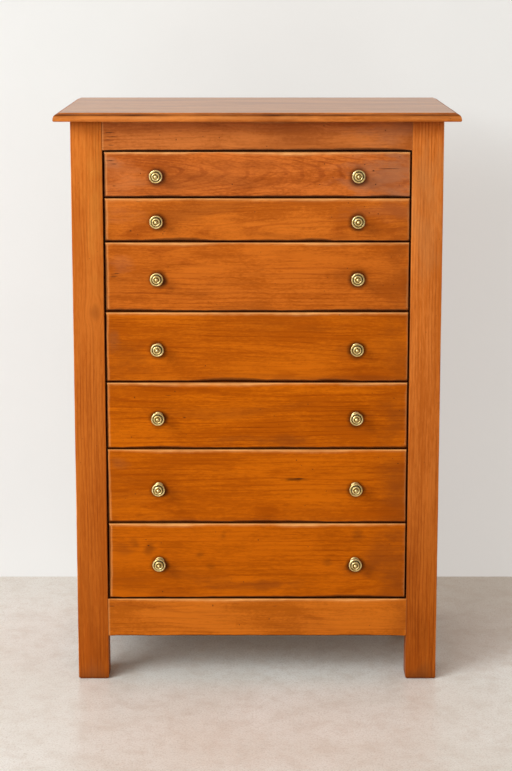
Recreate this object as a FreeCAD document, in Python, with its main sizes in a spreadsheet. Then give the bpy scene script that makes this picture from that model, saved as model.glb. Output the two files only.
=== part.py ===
"""A semainier: a tall solid-wood chest with seven inset drawers, in millimetres.

+X is to the right, +Y is towards the back and +Z is up. The origin is on the floor, under the middle
of the top board. Four posts are mortised for the rails, grooved for the side panels and rebated for the
back. Divider rails, runners and guides carry seven dovetailed drawers, each with two turned knobs.
"""

import FreeCAD
import Part
import math
import os

import Sketcher

doc = FreeCAD.newDocument("semainier")
sheet = doc.addObject("Spreadsheet::Sheet", "Sizes")

DRIVING = {
    # posts and rails
    "body_width": 780,
    "post_width": 66,
    "post_depth": 46,
    "edge_ease": 1.6,
    "floor_clearance": 98.5,
    "bottom_rail_height": 84,
    "frieze_height": 62.5,
    "side_rail_thickness": 22,
    "side_rail_setback": 2,
    "upper_side_rail_height": 70,
    "rear_rail_thickness": 22,
    "rear_rail_height": 70,
    "tenon_thickness": 9,
    "tenon_length": 28,
    "tenon_shoulder": 8,
    # side panels and back
    "side_panel_thickness": 10,
    "panel_groove_depth": 10,
    "back_panel_thickness": 6,
    "back_rebate_width": 12,
    "back_panel_setback": 2,
    # top board and its moulded edge
    "top_depth": 480,
    "top_thickness": 18,
    "top_front_overhang": 39,
    "top_side_overhang": 32,
    "nose_radius": 3,
    "ovolo_radius": 10,
    "quirk_width": 1.5,
    "quirk_height": 2,
    # drawer fronts, from the top drawer down
    "first_front_height": 94,
    "second_front_height": 90,
    "third_front_height": 146,
    "fourth_front_height": 149,
    "fifth_front_height": 143,
    "sixth_front_height": 161,
    "seventh_front_height": 166,
    "front_thickness": 22,
    "front_ease": 3.2,
    "drawer_gap": 3.5,
    "drawer_side_gap": 4,
    # drawer boxes
    "drawer_back_clearance": 5,
    "drawer_side_thickness": 12,
    "drawer_bottom_thickness": 6,
    "drawer_groove_depth": 6,
    "drawer_groove_height": 8,
    "drawer_headroom": 4,
    "dovetail_lap": 8,
    "dovetail_pitch": 34,
    "dovetail_share": 0.68,
    "dovetail_slope": 6,
    # what carries the drawers
    "divider_thickness": 18,
    "divider_depth": 50,
    "stub_tenon_length": 10,
    "stub_tenon_shoulder": 4,
    "stop_clearance": 0.3,
    "running_clearance": 0.3,
    "guide_clearance": 1,
    "guide_width": 25,
    "guide_height": 16,
    "runner_ledge": 16,
    # knobs and their screws
    "knob_radius": 15,
    "knob_spacing": 422,
    "knob_drop": 1.5,
    "knob_collar_radius": 10,
    "knob_collar_height": 2.6,
    "knob_neck_radius": 5,
    "knob_projection": 36,
    "knob_screw_radius": 2,
    "knob_screw_reach": 11,
    "knob_screw_head_radius": 4,
    "knob_screw_head_height": 2.4,
    "knob_hole_clearance": 0.25,
    # blocks and screws of the top and the back
    "block_length": 60,
    "block_width": 24,
    "block_inset": 30,
    "wood_screw_radius": 2,
    "wood_screw_head_radius": 4,
    "wood_screw_head_height": 1.6,
    "top_screw_bite": 11,
    "back_screw_length": 18,
    "screw_clearance": 0.05,
}

for row, (alias, number) in enumerate(DRIVING.items(), start=1):
    sheet.set(f"A{row}", alias.replace("_", " "))
    sheet.set(f"B{row}", str(number))
    sheet.setAlias(f"B{row}", alias)
doc.recompute()

ORDER = ("first", "second", "third", "fourth", "fifth", "sixth", "seventh")
DRAWERS = range(1, len(ORDER) + 1)
LEVELS = range(len(DRAWERS) + 1)
SIDES = ("left", "right")
subparts = []


# ---------------------------------------------------------------- places, as expressions


def size(alias):
    """The number in one cell, for curves that are drawn by formula."""
    return float(sheet.get(alias))


def at_side(side, x):
    """An X on the right of the middle, or its mirror image on the left."""
    return x if side == "right" else f"-({x})"


def mirrored(side, low, high):
    """A span of X on the right of the middle, or its mirror image on the left."""
    return (low, high) if side == "right" else (at_side(side, high), at_side(side, low))


def grown(span, amount):
    """A span with both ends moved outwards, or inwards by a negative amount."""
    return (f"{span[0]} - ({amount})", f"{span[1]} + ({amount})")


def middle(span):
    """The middle of a span."""
    return f"(({span[0]}) + ({span[1]}))/2"


X_POST = "Sizes.body_width/2 - Sizes.post_width"
X_BODY = "Sizes.body_width/2"
X_DRAWER = f"{X_POST} - Sizes.drawer_side_gap"
X_BOX_INSIDE = f"{X_DRAWER} - Sizes.drawer_side_thickness"
X_GUIDE = f"{X_DRAWER} + Sizes.guide_clearance"
X_SIDE_RAIL = f"{X_BODY} - Sizes.side_rail_setback - Sizes.side_rail_thickness"

Y_BACK = "Sizes.top_depth/2"
Y_FACE = "-Sizes.top_depth/2 + Sizes.top_front_overhang"
Y_FRONT_POST = f"{Y_FACE} + Sizes.post_depth"
Y_REAR_POST = f"{Y_BACK} - Sizes.post_depth"
Y_FACE_BACK = f"{Y_FACE} + Sizes.front_thickness"
Y_DIVIDER = f"{Y_FACE_BACK} + Sizes.stop_clearance"
Y_DIVIDER_BACK = f"{Y_DIVIDER} + Sizes.divider_depth"
Y_BACK_PANEL = f"{Y_BACK} - Sizes.back_panel_setback - Sizes.back_panel_thickness"
Y_BOX_BACK = f"{Y_REAR_POST} - Sizes.drawer_back_clearance"
Y_BACK_BOARD = f"{Y_BOX_BACK} - Sizes.drawer_side_thickness"

ALL_ACROSS = (f"-({X_POST})", X_POST)
FACE = (Y_FACE, Y_FACE_BACK)
BETWEEN_POSTS = (Y_FRONT_POST, Y_REAR_POST)

Z_SKIRT = "Sizes.floor_clearance"
Z_OPENING = f"{Z_SKIRT} + Sizes.bottom_rail_height"


def front_height(number):
    """The cell that holds the height of a drawer's front."""
    return f"{ORDER[number - 1]}_front_height"


def front_foot(number):
    """Height of a drawer front's lower edge: the fronts stand one above another, a gap apart."""
    below = "".join(f" + Sizes.{front_height(n)} + Sizes.drawer_gap" for n in DRAWERS if n > number)
    return f"{Z_OPENING} + Sizes.drawer_gap{below}"


Z_FRIEZE = f"{front_foot(1)} + Sizes.{front_height(1)} + Sizes.drawer_gap"
Z_BODY = f"{Z_FRIEZE} + Sizes.frieze_height"
Z_UPPER_RAIL = f"{Z_BODY} - Sizes.upper_side_rail_height"


def level_span(level):
    """The Z of the divider rail and runners under drawer `level`; level 0 is over the top drawer."""
    gap = f"{front_foot(level)} - Sizes.drawer_gap/2" if level else f"{Z_FRIEZE} - Sizes.drawer_gap/2"
    return (f"{gap} - Sizes.divider_thickness/2", f"{gap} + Sizes.divider_thickness/2")


# ---------------------------------------------------------------- features


def board(name, x, y, z):
    """A square-edged block over three spans."""
    item = doc.addObject("Part::Box", name)
    for side, axis, (low, high) in zip(("Length", "Width", "Height"), "xyz", (x, y, z)):
        item.setExpression(side, f"({high}) - ({low})")
        item.setExpression(f"Placement.Base.{axis}", low)
    return item


def peg(name, radius, place, length, along):
    """A cylinder from place along +Y or +Z."""
    item = doc.addObject("Part::Cylinder", name)
    item.setExpression("Radius", radius)
    item.setExpression("Height", length)
    if along == "y":
        item.Placement.Rotation = FreeCAD.Rotation(FreeCAD.Vector(1, 0, 0), -90)
    for axis, expression in zip("xyz", place):
        item.setExpression(f"Placement.Base.{axis}", expression)
    return item


def joined(name, items):
    """One solid made of several."""
    item = doc.addObject("Part::MultiFuse", name)
    item.Shapes = items
    item.Refine = True
    return item


def cut(name, base, tools):
    """A base less its tools."""
    item = doc.addObject("Part::Cut", name)
    item.Base = base
    item.Tool = tools[0] if len(tools) == 1 else joined(f"{name}_tools", tools)
    return item


def subpart(label, *items):
    """One node of the chest: a single solid, or like pieces kept as separate solids."""
    item = items[0]
    if len(items) > 1:
        item = doc.addObject("Part::Compound", f"{label}_set")
        item.Links = items
    item.Label = label
    subparts.append(item)


def sketch_on(body, role, name):
    """A sketch on one of a body's own origin planes."""
    sketch = body.newObject("Sketcher::SketchObject", name)
    plane = next(feature for feature in body.Origin.OriginFeatures if feature.Role == role)
    sketch.AttachmentSupport = [(plane, "")]
    sketch.MapMode = "FlatFace"
    return sketch


def draw_rectangle(sketch, width, depth):
    """A rectangle with a corner at the sketch's origin and both sides bound to expressions."""
    rough = 1.0
    corners = [FreeCAD.Vector(x, y, 0) for x, y in ((0, 0), (rough, 0), (rough, rough), (0, rough))]
    for n in range(4):
        sketch.addGeometry(Part.LineSegment(corners[n], corners[(n + 1) % 4]))
    for n in range(4):
        sketch.addConstraint(Sketcher.Constraint("Coincident", n, 2, (n + 1) % 4, 1))
        sketch.addConstraint(Sketcher.Constraint(("Horizontal", "Vertical")[n % 2], n))
    sketch.addConstraint(Sketcher.Constraint("Coincident", 0, 1, -1, 1))
    for line, kind, label, expression in (
        (0, "DistanceX", "width", width),
        (1, "DistanceY", "depth", depth),
    ):
        row = sketch.addConstraint(Sketcher.Constraint(kind, line, 1, line, 2, rough))
        sketch.renameConstraint(row, label)
        sketch.setExpression(f"Constraints.{label}", expression)


def eased_block(name, x, y, z, radius, chosen):
    """A planed block with some edges rounded: a sketched section, a pad and a fillet.

    chosen(edge_middle, box) is true for each edge that is rounded.
    """
    body = doc.addObject("PartDesign::Body", name)
    section = sketch_on(body, "XY_Plane", f"{name}_section")
    draw_rectangle(section, f"({x[1]}) - ({x[0]})", f"({y[1]}) - ({y[0]})")
    pad = body.newObject("PartDesign::Pad", f"{name}_pad")
    pad.Profile = section
    pad.setExpression("Length", f"({z[1]}) - ({z[0]})")
    doc.recompute()
    box = pad.Shape.BoundBox
    edges = enumerate(pad.Shape.Edges, start=1)
    ease = body.newObject("PartDesign::Fillet", f"{name}_ease")
    ease.Base = (pad, [f"Edge{n}" for n, edge in edges if chosen(edge.CenterOfMass, box)])
    ease.setExpression("Radius", radius)
    body.Tip = ease
    for axis, (low, _) in zip("xyz", (x, y, z)):
        body.setExpression(f"Placement.Base.{axis}", low)
    return body


def same(a, b):
    """True where two coordinates are equal."""
    return abs(a - b) < 1e-6


def upright_or_foot(edge, box):
    """The long edges of a post and the edges of its foot."""
    return same(edge.z, box.Center.z) or same(edge.z, box.ZMin)


def round_the_face(edge, box):
    """The four edges round a drawer front's face."""
    return same(edge.y, box.YMin)


def above_the_face(edge, box):
    """The upper edge of a rail's face."""
    return same(edge.y, box.YMin) and same(edge.z, box.ZMax)


def below_the_face(edge, box):
    """The lower edge of a rail's face."""
    return same(edge.y, box.YMin) and same(edge.z, box.ZMin)


# ---------------------------------------------------------------- rails and their tenons

mortises = {(end, side): [] for end in ("front", "rear") for side in SIDES}


def cross_rail(name, end, body, y, z):
    """A rail across the chest, tenoned into the two posts of that end."""
    tenon_y = grown((middle(y), middle(y)), "Sizes.tenon_thickness/2")
    tenon_z = grown(z, "-Sizes.tenon_shoulder")
    pieces = [body]
    for side in SIDES:
        tenon_x = mirrored(side, X_POST, f"{X_POST} + Sizes.tenon_length")
        tenon = board(f"{name}_tenon_{side}", tenon_x, tenon_y, tenon_z)
        mortises[end, side].append(tenon)
        pieces.append(tenon)
    return joined(name, pieces)


def side_rail(name, side, z):
    """A rail along one side of the chest, tenoned into the front and the rear post."""
    x = mirrored(side, X_SIDE_RAIL, f"{X_SIDE_RAIL} + Sizes.side_rail_thickness")
    tenon_x = grown((middle(x), middle(x)), "Sizes.tenon_thickness/2")
    tenon_y = grown(BETWEEN_POSTS, "Sizes.tenon_length")
    body = board(f"{name}_body", x, BETWEEN_POSTS, z)
    tenon = board(f"{name}_tenon", tenon_x, tenon_y, grown(z, "-Sizes.tenon_shoulder"))
    for end in ("front", "rear"):
        mortises[end, side].append(tenon)
    return joined(name, [body, tenon])


bottom_z, frieze_z = (Z_SKIRT, Z_OPENING), (Z_FRIEZE, Z_BODY)
plank = eased_block("bottom_rail_plank", ALL_ACROSS, FACE, bottom_z, "Sizes.front_ease", above_the_face)
subpart("bottom_rail", cross_rail("bottom_rail_tenoned", "front", plank, FACE, bottom_z))
plank = eased_block("frieze_rail_plank", ALL_ACROSS, FACE, frieze_z, "Sizes.edge_ease", below_the_face)
subpart("frieze_rail", cross_rail("frieze_rail_tenoned", "front", plank, FACE, frieze_z))

panels = {}
side_rails = {"upper": [], "lower": []}
for side in SIDES:
    rail_x = mirrored(side, X_SIDE_RAIL, f"{X_SIDE_RAIL} + Sizes.side_rail_thickness")
    panel_x = grown((middle(rail_x), middle(rail_x)), "Sizes.side_panel_thickness/2")
    panel_y = grown(BETWEEN_POSTS, "Sizes.panel_groove_depth")
    panel_z = grown((Z_OPENING, Z_UPPER_RAIL), "Sizes.panel_groove_depth")
    panel = board(f"{side}_panel", panel_x, panel_y, panel_z)
    for place, z in {"upper": (Z_UPPER_RAIL, Z_BODY), "lower": (Z_SKIRT, Z_OPENING)}.items():
        rail = side_rail(f"{side}_{place}_rail", side, z)
        side_rails[place].append(cut(f"{side}_{place}_rail_grooved", rail, [panel]))
    for end in ("front", "rear"):
        mortises[end, side].append(panel)
    subpart(f"{side}_side_panel", panel)
for place, pair in side_rails.items():
    subpart(f"{place}_side_rails", *pair)


# ---------------------------------------------------------------- dividers, runners and guides


def divider_rail(level):
    """A rail behind the gap between two fronts, stub-tenoned into the front posts.

    The fronts lap over it and stop against it, and the runners are tongued into its back edge.
    """
    z = level_span(level)
    pieces = [board(f"divider_{level}_body", ALL_ACROSS, (Y_DIVIDER, Y_DIVIDER_BACK), z)]
    for side in SIDES:
        x = mirrored(side, X_POST, f"{X_POST} + Sizes.stub_tenon_length")
        y = grown((Y_DIVIDER, Y_FRONT_POST), "-Sizes.stub_tenon_shoulder")
        stub = board(f"divider_{level}_stub_{side}", x, y, grown(z, "-Sizes.stub_tenon_shoulder"))
        mortises["front", side].append(stub)
        pieces.append(stub)
    return joined(f"divider_{level}", pieces)


def runner(level, side):
    """A runner under one drawer side, tongued into the divider rail and stubbed into the rear post.

    The pair at level 0 lies over the top drawer and keeps it from tipping when it is pulled out.
    """
    name = f"runner_{level}_{side}"
    z = level_span(level)
    stub_z = grown(z, "-Sizes.stub_tenon_shoulder")
    inner, outer = f"{X_DRAWER} - Sizes.runner_ledge", f"{X_GUIDE} + Sizes.guide_width"
    body = board(f"{name}_body", mirrored(side, inner, outer), (Y_DIVIDER_BACK, Y_REAR_POST), z)
    shoulder = "Sizes.stub_tenon_shoulder"
    tongue_x = mirrored(side, f"{inner} + {shoulder}", f"{X_POST} - {shoulder}")
    tongue_y = (f"{Y_DIVIDER_BACK} - Sizes.stub_tenon_length", Y_DIVIDER_BACK)
    tongue = board(f"{name}_tongue", tongue_x, tongue_y, stub_z)
    stub_x = mirrored(side, f"{X_POST} + {shoulder}", f"{outer} - {shoulder}")
    stub_y = (Y_REAR_POST, f"{Y_REAR_POST} + Sizes.stub_tenon_length")
    stub = board(f"{name}_stub", stub_x, stub_y, stub_z)
    mortises["rear", side].append(stub)
    return joined(name, [body, tongue, stub]), tongue


def guide(level, side):
    """A strip glued on a runner, beside the drawer."""
    x = mirrored(side, X_GUIDE, f"{X_GUIDE} + Sizes.guide_width")
    top = level_span(level)[1]
    return board(f"guide_{level}_{side}", x, BETWEEN_POSTS, (top, f"{top} + Sizes.guide_height"))


dividers, runners = [], []
for level in LEVELS:
    pairs = [runner(level, side) for side in SIDES]
    runners += [piece for piece, _ in pairs]
    dividers.append(cut(f"divider_{level}_grooved", divider_rail(level), [tongue for _, tongue in pairs]))
subpart("divider_rails", *dividers)
subpart("drawer_runners", *runners)
subpart("drawer_guides", *(guide(level, side) for level in LEVELS[1:] for side in SIDES))


# ---------------------------------------------------------------- back, rear rails and posts


def wood_screw(name, place, length, along):
    """A round-headed screw with its point at place, and the hole that it fills."""
    shank = peg(f"{name}_shank", "Sizes.wood_screw_radius", place, length, along)
    bore = "Sizes.wood_screw_radius + Sizes.screw_clearance"
    hole = peg(f"{name}_hole", bore, place, length, along)
    x, y, z = place
    if along == "y":
        head_place = (x, f"{y} + {length}", z)
    else:
        head_place = (x, y, f"{z} - Sizes.wood_screw_head_height")
    head_size = ("Sizes.wood_screw_head_radius", head_place, "Sizes.wood_screw_head_height")
    return joined(name, [shank, peg(f"{name}_head", *head_size, along)]), hole


SCREWS_UP_A_POST = 4
SCREWS_ALONG_A_RAIL = 3
back_z = (Z_SKIRT, Z_BODY)
back_x = grown(ALL_ACROSS, "Sizes.back_rebate_width")
rear_rail_z = {
    "top": (f"{Z_BODY} - Sizes.rear_rail_height", Z_BODY),
    "bottom": (Z_SKIRT, f"{Z_SKIRT} + Sizes.rear_rail_height"),
}
y_tip = f"{Y_BACK} - Sizes.back_panel_setback - Sizes.back_screw_length"
screws, back_holes = [], {place: [] for place in ("left", "right", "top", "bottom")}


def add_back_screw(place, number, x, z):
    """One screw through the back, whose hole runs on into the post or rail that takes it."""
    screw, hole = wood_screw(f"back_screw_{place}_{number}", (x, y_tip, z), "Sizes.back_screw_length", "y")
    screws.append(screw)
    back_holes[place].append(hole)


for side in SIDES:
    x = at_side(side, f"{X_POST} + Sizes.back_rebate_width/2")
    low, high = grown(back_z, "-Sizes.rear_rail_height")
    for number in range(SCREWS_UP_A_POST):
        share = (number + 0.5) / SCREWS_UP_A_POST
        add_back_screw(side, number, x, f"{low} + {share}*(({high}) - ({low}))")
for place, z in rear_rail_z.items():
    for number in range(SCREWS_ALONG_A_RAIL):
        share = (number + 1) / (SCREWS_ALONG_A_RAIL + 1) * 2 - 1
        add_back_screw(place, number, f"{share}*({X_POST})", middle(z))

back_board = board("back_board", back_x, (Y_BACK_PANEL, f"{Y_BACK} - Sizes.back_panel_setback"), back_z)
rebate = board("back_rebate", back_x, (Y_BACK_PANEL, Y_BACK), back_z)
subpart("back_panel", cut("back_drilled", back_board, sum(back_holes.values(), [])))

rear_rails = []
rear_y = (f"{Y_BACK_PANEL} - Sizes.rear_rail_thickness", Y_BACK_PANEL)
for place, z in rear_rail_z.items():
    plank = board(f"rear_{place}_plank", ALL_ACROSS, rear_y, z)
    rail = cross_rail(f"rear_{place}_rail", "rear", plank, rear_y, z)
    rear_rails.append(cut(f"rear_{place}_rail_drilled", rail, back_holes[place]))
subpart("rear_rails", *rear_rails)

for side in SIDES:
    mortises["rear", side] += [rebate, *back_holes[side]]
    for end, y in {"front": (Y_FACE, Y_FRONT_POST), "rear": (Y_REAR_POST, Y_BACK)}.items():
        x = mirrored(side, X_POST, X_BODY)
        name = f"{end}_{side}_post"
        blank = eased_block(f"{name}_blank", x, y, ("0", Z_BODY), "Sizes.edge_ease", upright_or_foot)
        subpart(name, cut(f"{name}_mortised", blank, mortises[end, side]))


# ---------------------------------------------------------------- top board


def moulded_edge(u):
    """The moulding worked on the top's edges, from its underside up: nose, ovolo and square quirk.

    u(distance) gives the place across the board of a point that far in from the edge.
    """
    nose, ovolo, thickness = size("nose_radius"), size("ovolo_radius"), size("top_thickness")
    quirk_in = ovolo + size("quirk_width")
    shoulder = thickness - size("quirk_height")
    bow = 1 - math.sqrt(0.5)

    def p(distance, height):
        return FreeCAD.Vector(u(distance), height, 0)

    return [
        Part.Arc(p(nose, 0), p(nose * bow, nose * bow), p(0, nose)),
        Part.LineSegment(p(0, nose), p(0, shoulder - ovolo)),
        Part.Arc(p(0, shoulder - ovolo), p(ovolo * bow, shoulder - ovolo * bow), p(ovolo, shoulder)),
        Part.LineSegment(p(ovolo, shoulder), p(quirk_in, shoulder)),
        Part.LineSegment(p(quirk_in, shoulder), p(quirk_in, thickness)),
    ]


def moulded_run(name, width, far_side_moulded, turn, corner, length):
    """The top's section drawn along one direction."""
    def near(distance):
        return distance

    def far(distance):
        return width - distance

    curves = moulded_edge(near)
    under, over = curves[0].StartPoint, curves[-1].EndPoint
    far_curves = moulded_edge(far)
    if far_side_moulded:
        far_under, far_over = far_curves[0].StartPoint, far_curves[-1].EndPoint
        curves += far_curves
    else:
        far_under, far_over = FreeCAD.Vector(width, 0, 0), FreeCAD.Vector(width, over.y, 0)
        curves.append(Part.LineSegment(far_under, far_over))
    curves += [Part.LineSegment(under, far_under), Part.LineSegment(over, far_over)]
    section = doc.addObject("Sketcher::SketchObject", f"{name}_section")
    for curve in curves:
        section.addGeometry(curve)
    section.Placement.Rotation = turn
    for axis, expression in zip("xyz", corner):
        section.setExpression(f"Placement.Base.{axis}", expression)
    run = doc.addObject("Part::Extrusion", name)
    run.Base = section
    run.DirMode = "Normal"
    run.Solid = True
    run.setExpression("LengthFwd", length)
    return run


# One section stands across the depth and runs along X, the other across the width and runs along Y.
# What they have in common is the top, with its moulding mitred at the corners.
top_width = size("body_width") + 2 * size("top_side_overhang")
x_edge = "-(Sizes.body_width/2 + Sizes.top_side_overhang)"
depth_section = FreeCAD.Rotation(FreeCAD.Vector(1, 1, 1), 120)
width_section = FreeCAD.Rotation(FreeCAD.Vector(1, 0, 0), 90)
front_corner = (x_edge, f"-({Y_BACK})", Z_BODY)
rear_corner = (x_edge, Y_BACK, Z_BODY)
front_moulding = moulded_run(
    "front_moulding", size("top_depth"), False, depth_section, front_corner, f"-2*({x_edge})"
)
side_mouldings = moulded_run(
    "side_mouldings", top_width, True, width_section, rear_corner, "Sizes.top_depth"
)
top_blank = doc.addObject("Part::Common", "top_blank")
top_blank.Base = front_moulding
top_blank.Tool = side_mouldings

# Blocks glued inside the upper side rails, and the screws that hold the top down on them.
blocks, top_holes = [], []
block_z = (f"{Z_BODY} - Sizes.block_width", Z_BODY)
front_block_y = f"{Y_FRONT_POST} + Sizes.block_inset"
rear_block_y = f"{Y_REAR_POST} - Sizes.block_inset"
block_y = {
    "front": (front_block_y, f"{front_block_y} + Sizes.block_length"),
    "rear": (f"{rear_block_y} - Sizes.block_length", rear_block_y),
}
for side in SIDES:
    x = mirrored(side, f"{X_SIDE_RAIL} - Sizes.block_width", X_SIDE_RAIL)
    for end, y in block_y.items():
        name = f"{side}_{end}_block"
        place = (middle(x), middle(y), block_z[0])
        screw, hole = wood_screw(f"{name}_screw", place, "Sizes.block_width + Sizes.top_screw_bite", "z")
        blocks.append(cut(name, board(f"{name}_blank", x, y, block_z), [hole]))
        screws.append(screw)
        top_holes.append(hole)
subpart("top_fixing_blocks", *blocks)
subpart("wood_screws", *screws)
subpart("top_board", cut("top_drilled", top_blank, top_holes))


# ---------------------------------------------------------------- drawers


def dovetail(name, x, y_tip, y_root, z, pitch):
    """One tail of a drawer side: a prism through its thickness, wide at the tip, narrow at the root."""
    towards_front = name.endswith("front")
    low, high = (y_tip, y_root) if towards_front else (y_root, y_tip)
    wide = f"Sizes.dovetail_share*({pitch})/2"
    narrow = f"{wide} - (({high}) - ({low}))/Sizes.dovetail_slope"
    item = doc.addObject("Part::Wedge", name)
    for mark, half in zip(("", "2"), (wide, narrow) if towards_front else (narrow, wide)):
        item.setExpression(f"X{mark}min", "0 mm")
        item.setExpression(f"X{mark}max", "Sizes.drawer_side_thickness")
        item.setExpression(f"Z{mark}min", f"-({half})")
        item.setExpression(f"Z{mark}max", half)
    item.setExpression("Ymin", "0 mm")
    item.setExpression("Ymax", f"({high}) - ({low})")
    for axis, expression in zip("xyz", (x[0], low, z)):
        item.setExpression(f"Placement.Base.{axis}", expression)
    return item


def dovetails(name, end, x, z, count):
    """A row of tails up one end of a drawer side: lapped in the front, through the back board."""
    y_tip, y_root = {
        "front": (f"{Y_FACE} + Sizes.dovetail_lap", Y_FACE_BACK),
        "rear": (Y_BOX_BACK, Y_BACK_BOARD),
    }[end]
    pitch = f"(({z[1]}) - ({z[0]}))/{count}"
    return [
        dovetail(f"{name}_tail_{n}_{end}", x, y_tip, y_root, f"{z[0]} + {n + 0.5}*({pitch})", pitch)
        for n in range(count)
    ]


def knob_section():
    """Half of a knob's section, as distance from its axis and distance out from the drawer's face.

    A collar seats on the face, a waisted neck carries the head, and the head steps up from its rim over
    a rounded ring to a button in the middle.
    """
    head, out, neck = size("knob_radius"), size("knob_projection"), size("knob_neck_radius")
    collar, lift = size("knob_collar_radius"), size("knob_collar_height")
    rim_r, ring_r, button_r = 0.12 * head, 0.1 * head, 0.27 * head
    rim, ring = head - rim_r, 0.53 * head
    rim_out, groove_out, ring_out = 0.75 * out, 0.78 * out, 0.86 * out
    button_height = out - ring_out
    ball_r = (button_r**2 + button_height**2) / (2 * button_height)
    half_turn = math.acos((ring_out - out + ball_r) / ball_r) / 2
    ball_side = (ball_r * math.sin(half_turn), out - ball_r + ball_r * math.cos(half_turn))

    def p(radius, distance):
        return FreeCAD.Vector(radius, distance, 0)

    return [
        Part.LineSegment(p(0, 0), p(collar, 0)),
        Part.Arc(p(collar, 0), p(collar - 0.3 * lift, 0.75 * lift), p(collar - lift, lift)),
        Part.Arc(p(collar - lift, lift), p(0.92 * neck, 0.24 * out), p(neck, 0.42 * out)),
        Part.Arc(p(neck, 0.42 * out), p(0.58 * head, 0.58 * out), p(rim, rim_out - rim_r)),
        Part.Arc(p(rim, rim_out - rim_r), p(head, rim_out), p(rim, rim_out + rim_r)),
        Part.LineSegment(p(rim, rim_out + rim_r), p(rim - 1.4 * rim_r, groove_out)),
        Part.LineSegment(p(rim - 1.4 * rim_r, groove_out), p(ring + ring_r, ring_out)),
        Part.Arc(p(ring + ring_r, ring_out), p(ring, ring_out + ring_r), p(ring - ring_r, ring_out)),
        Part.LineSegment(p(ring - ring_r, ring_out), p(button_r, ring_out)),
        Part.Arc(p(button_r, ring_out), p(*ball_side), p(0, out)),
        Part.LineSegment(p(0, out), p(0, 0)),
    ]


def knob(name, x, z):
    """A turned knob, tapped from behind for its screw."""
    body = doc.addObject("PartDesign::Body", name)
    section = sketch_on(body, "XY_Plane", f"{name}_section")
    for curve in knob_section():
        section.addGeometry(curve)
    turned = body.newObject("PartDesign::Revolution", f"{name}_turned")
    turned.Profile = section
    turned.ReferenceAxis = (section, ["V_Axis"])
    body.Tip = turned
    body.Placement.Rotation = FreeCAD.Rotation(FreeCAD.Vector(1, 0, 0), 180)
    for axis, expression in zip("xyz", (x, Y_FACE, z)):
        body.setExpression(f"Placement.Base.{axis}", expression)
    radius = "Sizes.knob_screw_radius + Sizes.screw_clearance"
    tip = (x, f"{Y_FACE} - Sizes.knob_screw_reach", z)
    return cut(f"{name}_tapped", body, [peg(f"{name}_bore", radius, tip, "Sizes.knob_screw_reach", "y")])


def knob_screw(name, x, z):
    """The machine screw that holds a knob from inside the drawer."""
    length = "Sizes.knob_screw_reach + Sizes.front_thickness"
    tip = (x, f"{Y_FACE} - Sizes.knob_screw_reach", z)
    shank = peg(f"{name}_shank", "Sizes.knob_screw_radius", tip, length, "y")
    head_size = ("Sizes.knob_screw_head_radius", (x, Y_FACE_BACK, z), "Sizes.knob_screw_head_height")
    return joined(name, [shank, peg(f"{name}_head", *head_size, "y")])


def drawer(number):
    """One drawer: front, two sides, back, a bottom slid in from behind, and two knobs."""
    name = f"drawer_{number}"
    front_z = (front_foot(number), f"{front_foot(number)} + Sizes.{front_height(number)}")
    z_low = f"{level_span(number)[1]} + Sizes.running_clearance"
    z_high = f"{level_span(number - 1)[0]} - Sizes.drawer_headroom"
    groove = f"{z_low} + Sizes.drawer_groove_height"
    panel_z = (groove, f"{groove} + Sizes.drawer_bottom_thickness")
    panel_x = f"{X_BOX_INSIDE} + Sizes.drawer_groove_depth"
    panel_y = (f"{Y_FACE_BACK} - Sizes.drawer_groove_depth", Y_BOX_BACK)
    panel = board(f"{name}_panel", (f"-({panel_x})", panel_x), panel_y, panel_z)
    count = max(2, round(size(front_height(number)) / size("dovetail_pitch")))

    front_tails, rear_tails = [], []
    for side in SIDES:
        x = mirrored(side, X_BOX_INSIDE, X_DRAWER)
        tails = dovetails(f"{name}_{side}", "front", x, (z_low, z_high), count)
        front_tails += tails
        pieces = [board(f"{name}_{side}_plank", x, (Y_FACE_BACK, Y_BACK_BOARD), (z_low, z_high)), *tails]
        tails = dovetails(f"{name}_{side}", "rear", x, (panel_z[1], z_high), count)
        rear_tails += tails
        heel = board(f"{name}_{side}_heel", x, (Y_BACK_BOARD, Y_BOX_BACK), (z_low, panel_z[1]))
        blank = joined(f"{name}_{side}_blank", [*pieces, *tails, heel])
        subpart(f"{name}_{side}_side", cut(f"{name}_{side}_grooved", blank, [panel]))

    across = (f"-({X_DRAWER})", X_DRAWER)
    back = board(f"{name}_back_blank", across, (Y_BACK_BOARD, Y_BOX_BACK), (panel_z[1], z_high))
    subpart(f"{name}_back", cut(f"{name}_back_socketed", back, rear_tails))
    subpart(f"{name}_bottom", panel)

    knobs, holes = [], []
    z = f"{middle(front_z)} - Sizes.knob_drop"
    for side in SIDES:
        x = at_side(side, "Sizes.knob_spacing/2")
        knobs += [knob(f"{name}_{side}_knob", x, z), knob_screw(f"{name}_{side}_knob_screw", x, z)]
        bore = "Sizes.knob_screw_radius + Sizes.knob_hole_clearance"
        holes.append(peg(f"{name}_{side}_knob_hole", bore, (x, Y_FACE, z), "Sizes.front_thickness", "y"))
    subpart(f"{name}_knobs", *knobs)
    face = eased_block(f"{name}_face", across, FACE, front_z, "Sizes.front_ease", round_the_face)
    subpart(f"{name}_front", cut(f"{name}_face_socketed", face, [*front_tails, *holes, panel]))


for number in DRAWERS:
    drawer(number)


# ---------------------------------------------------------------- checks and files

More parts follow.
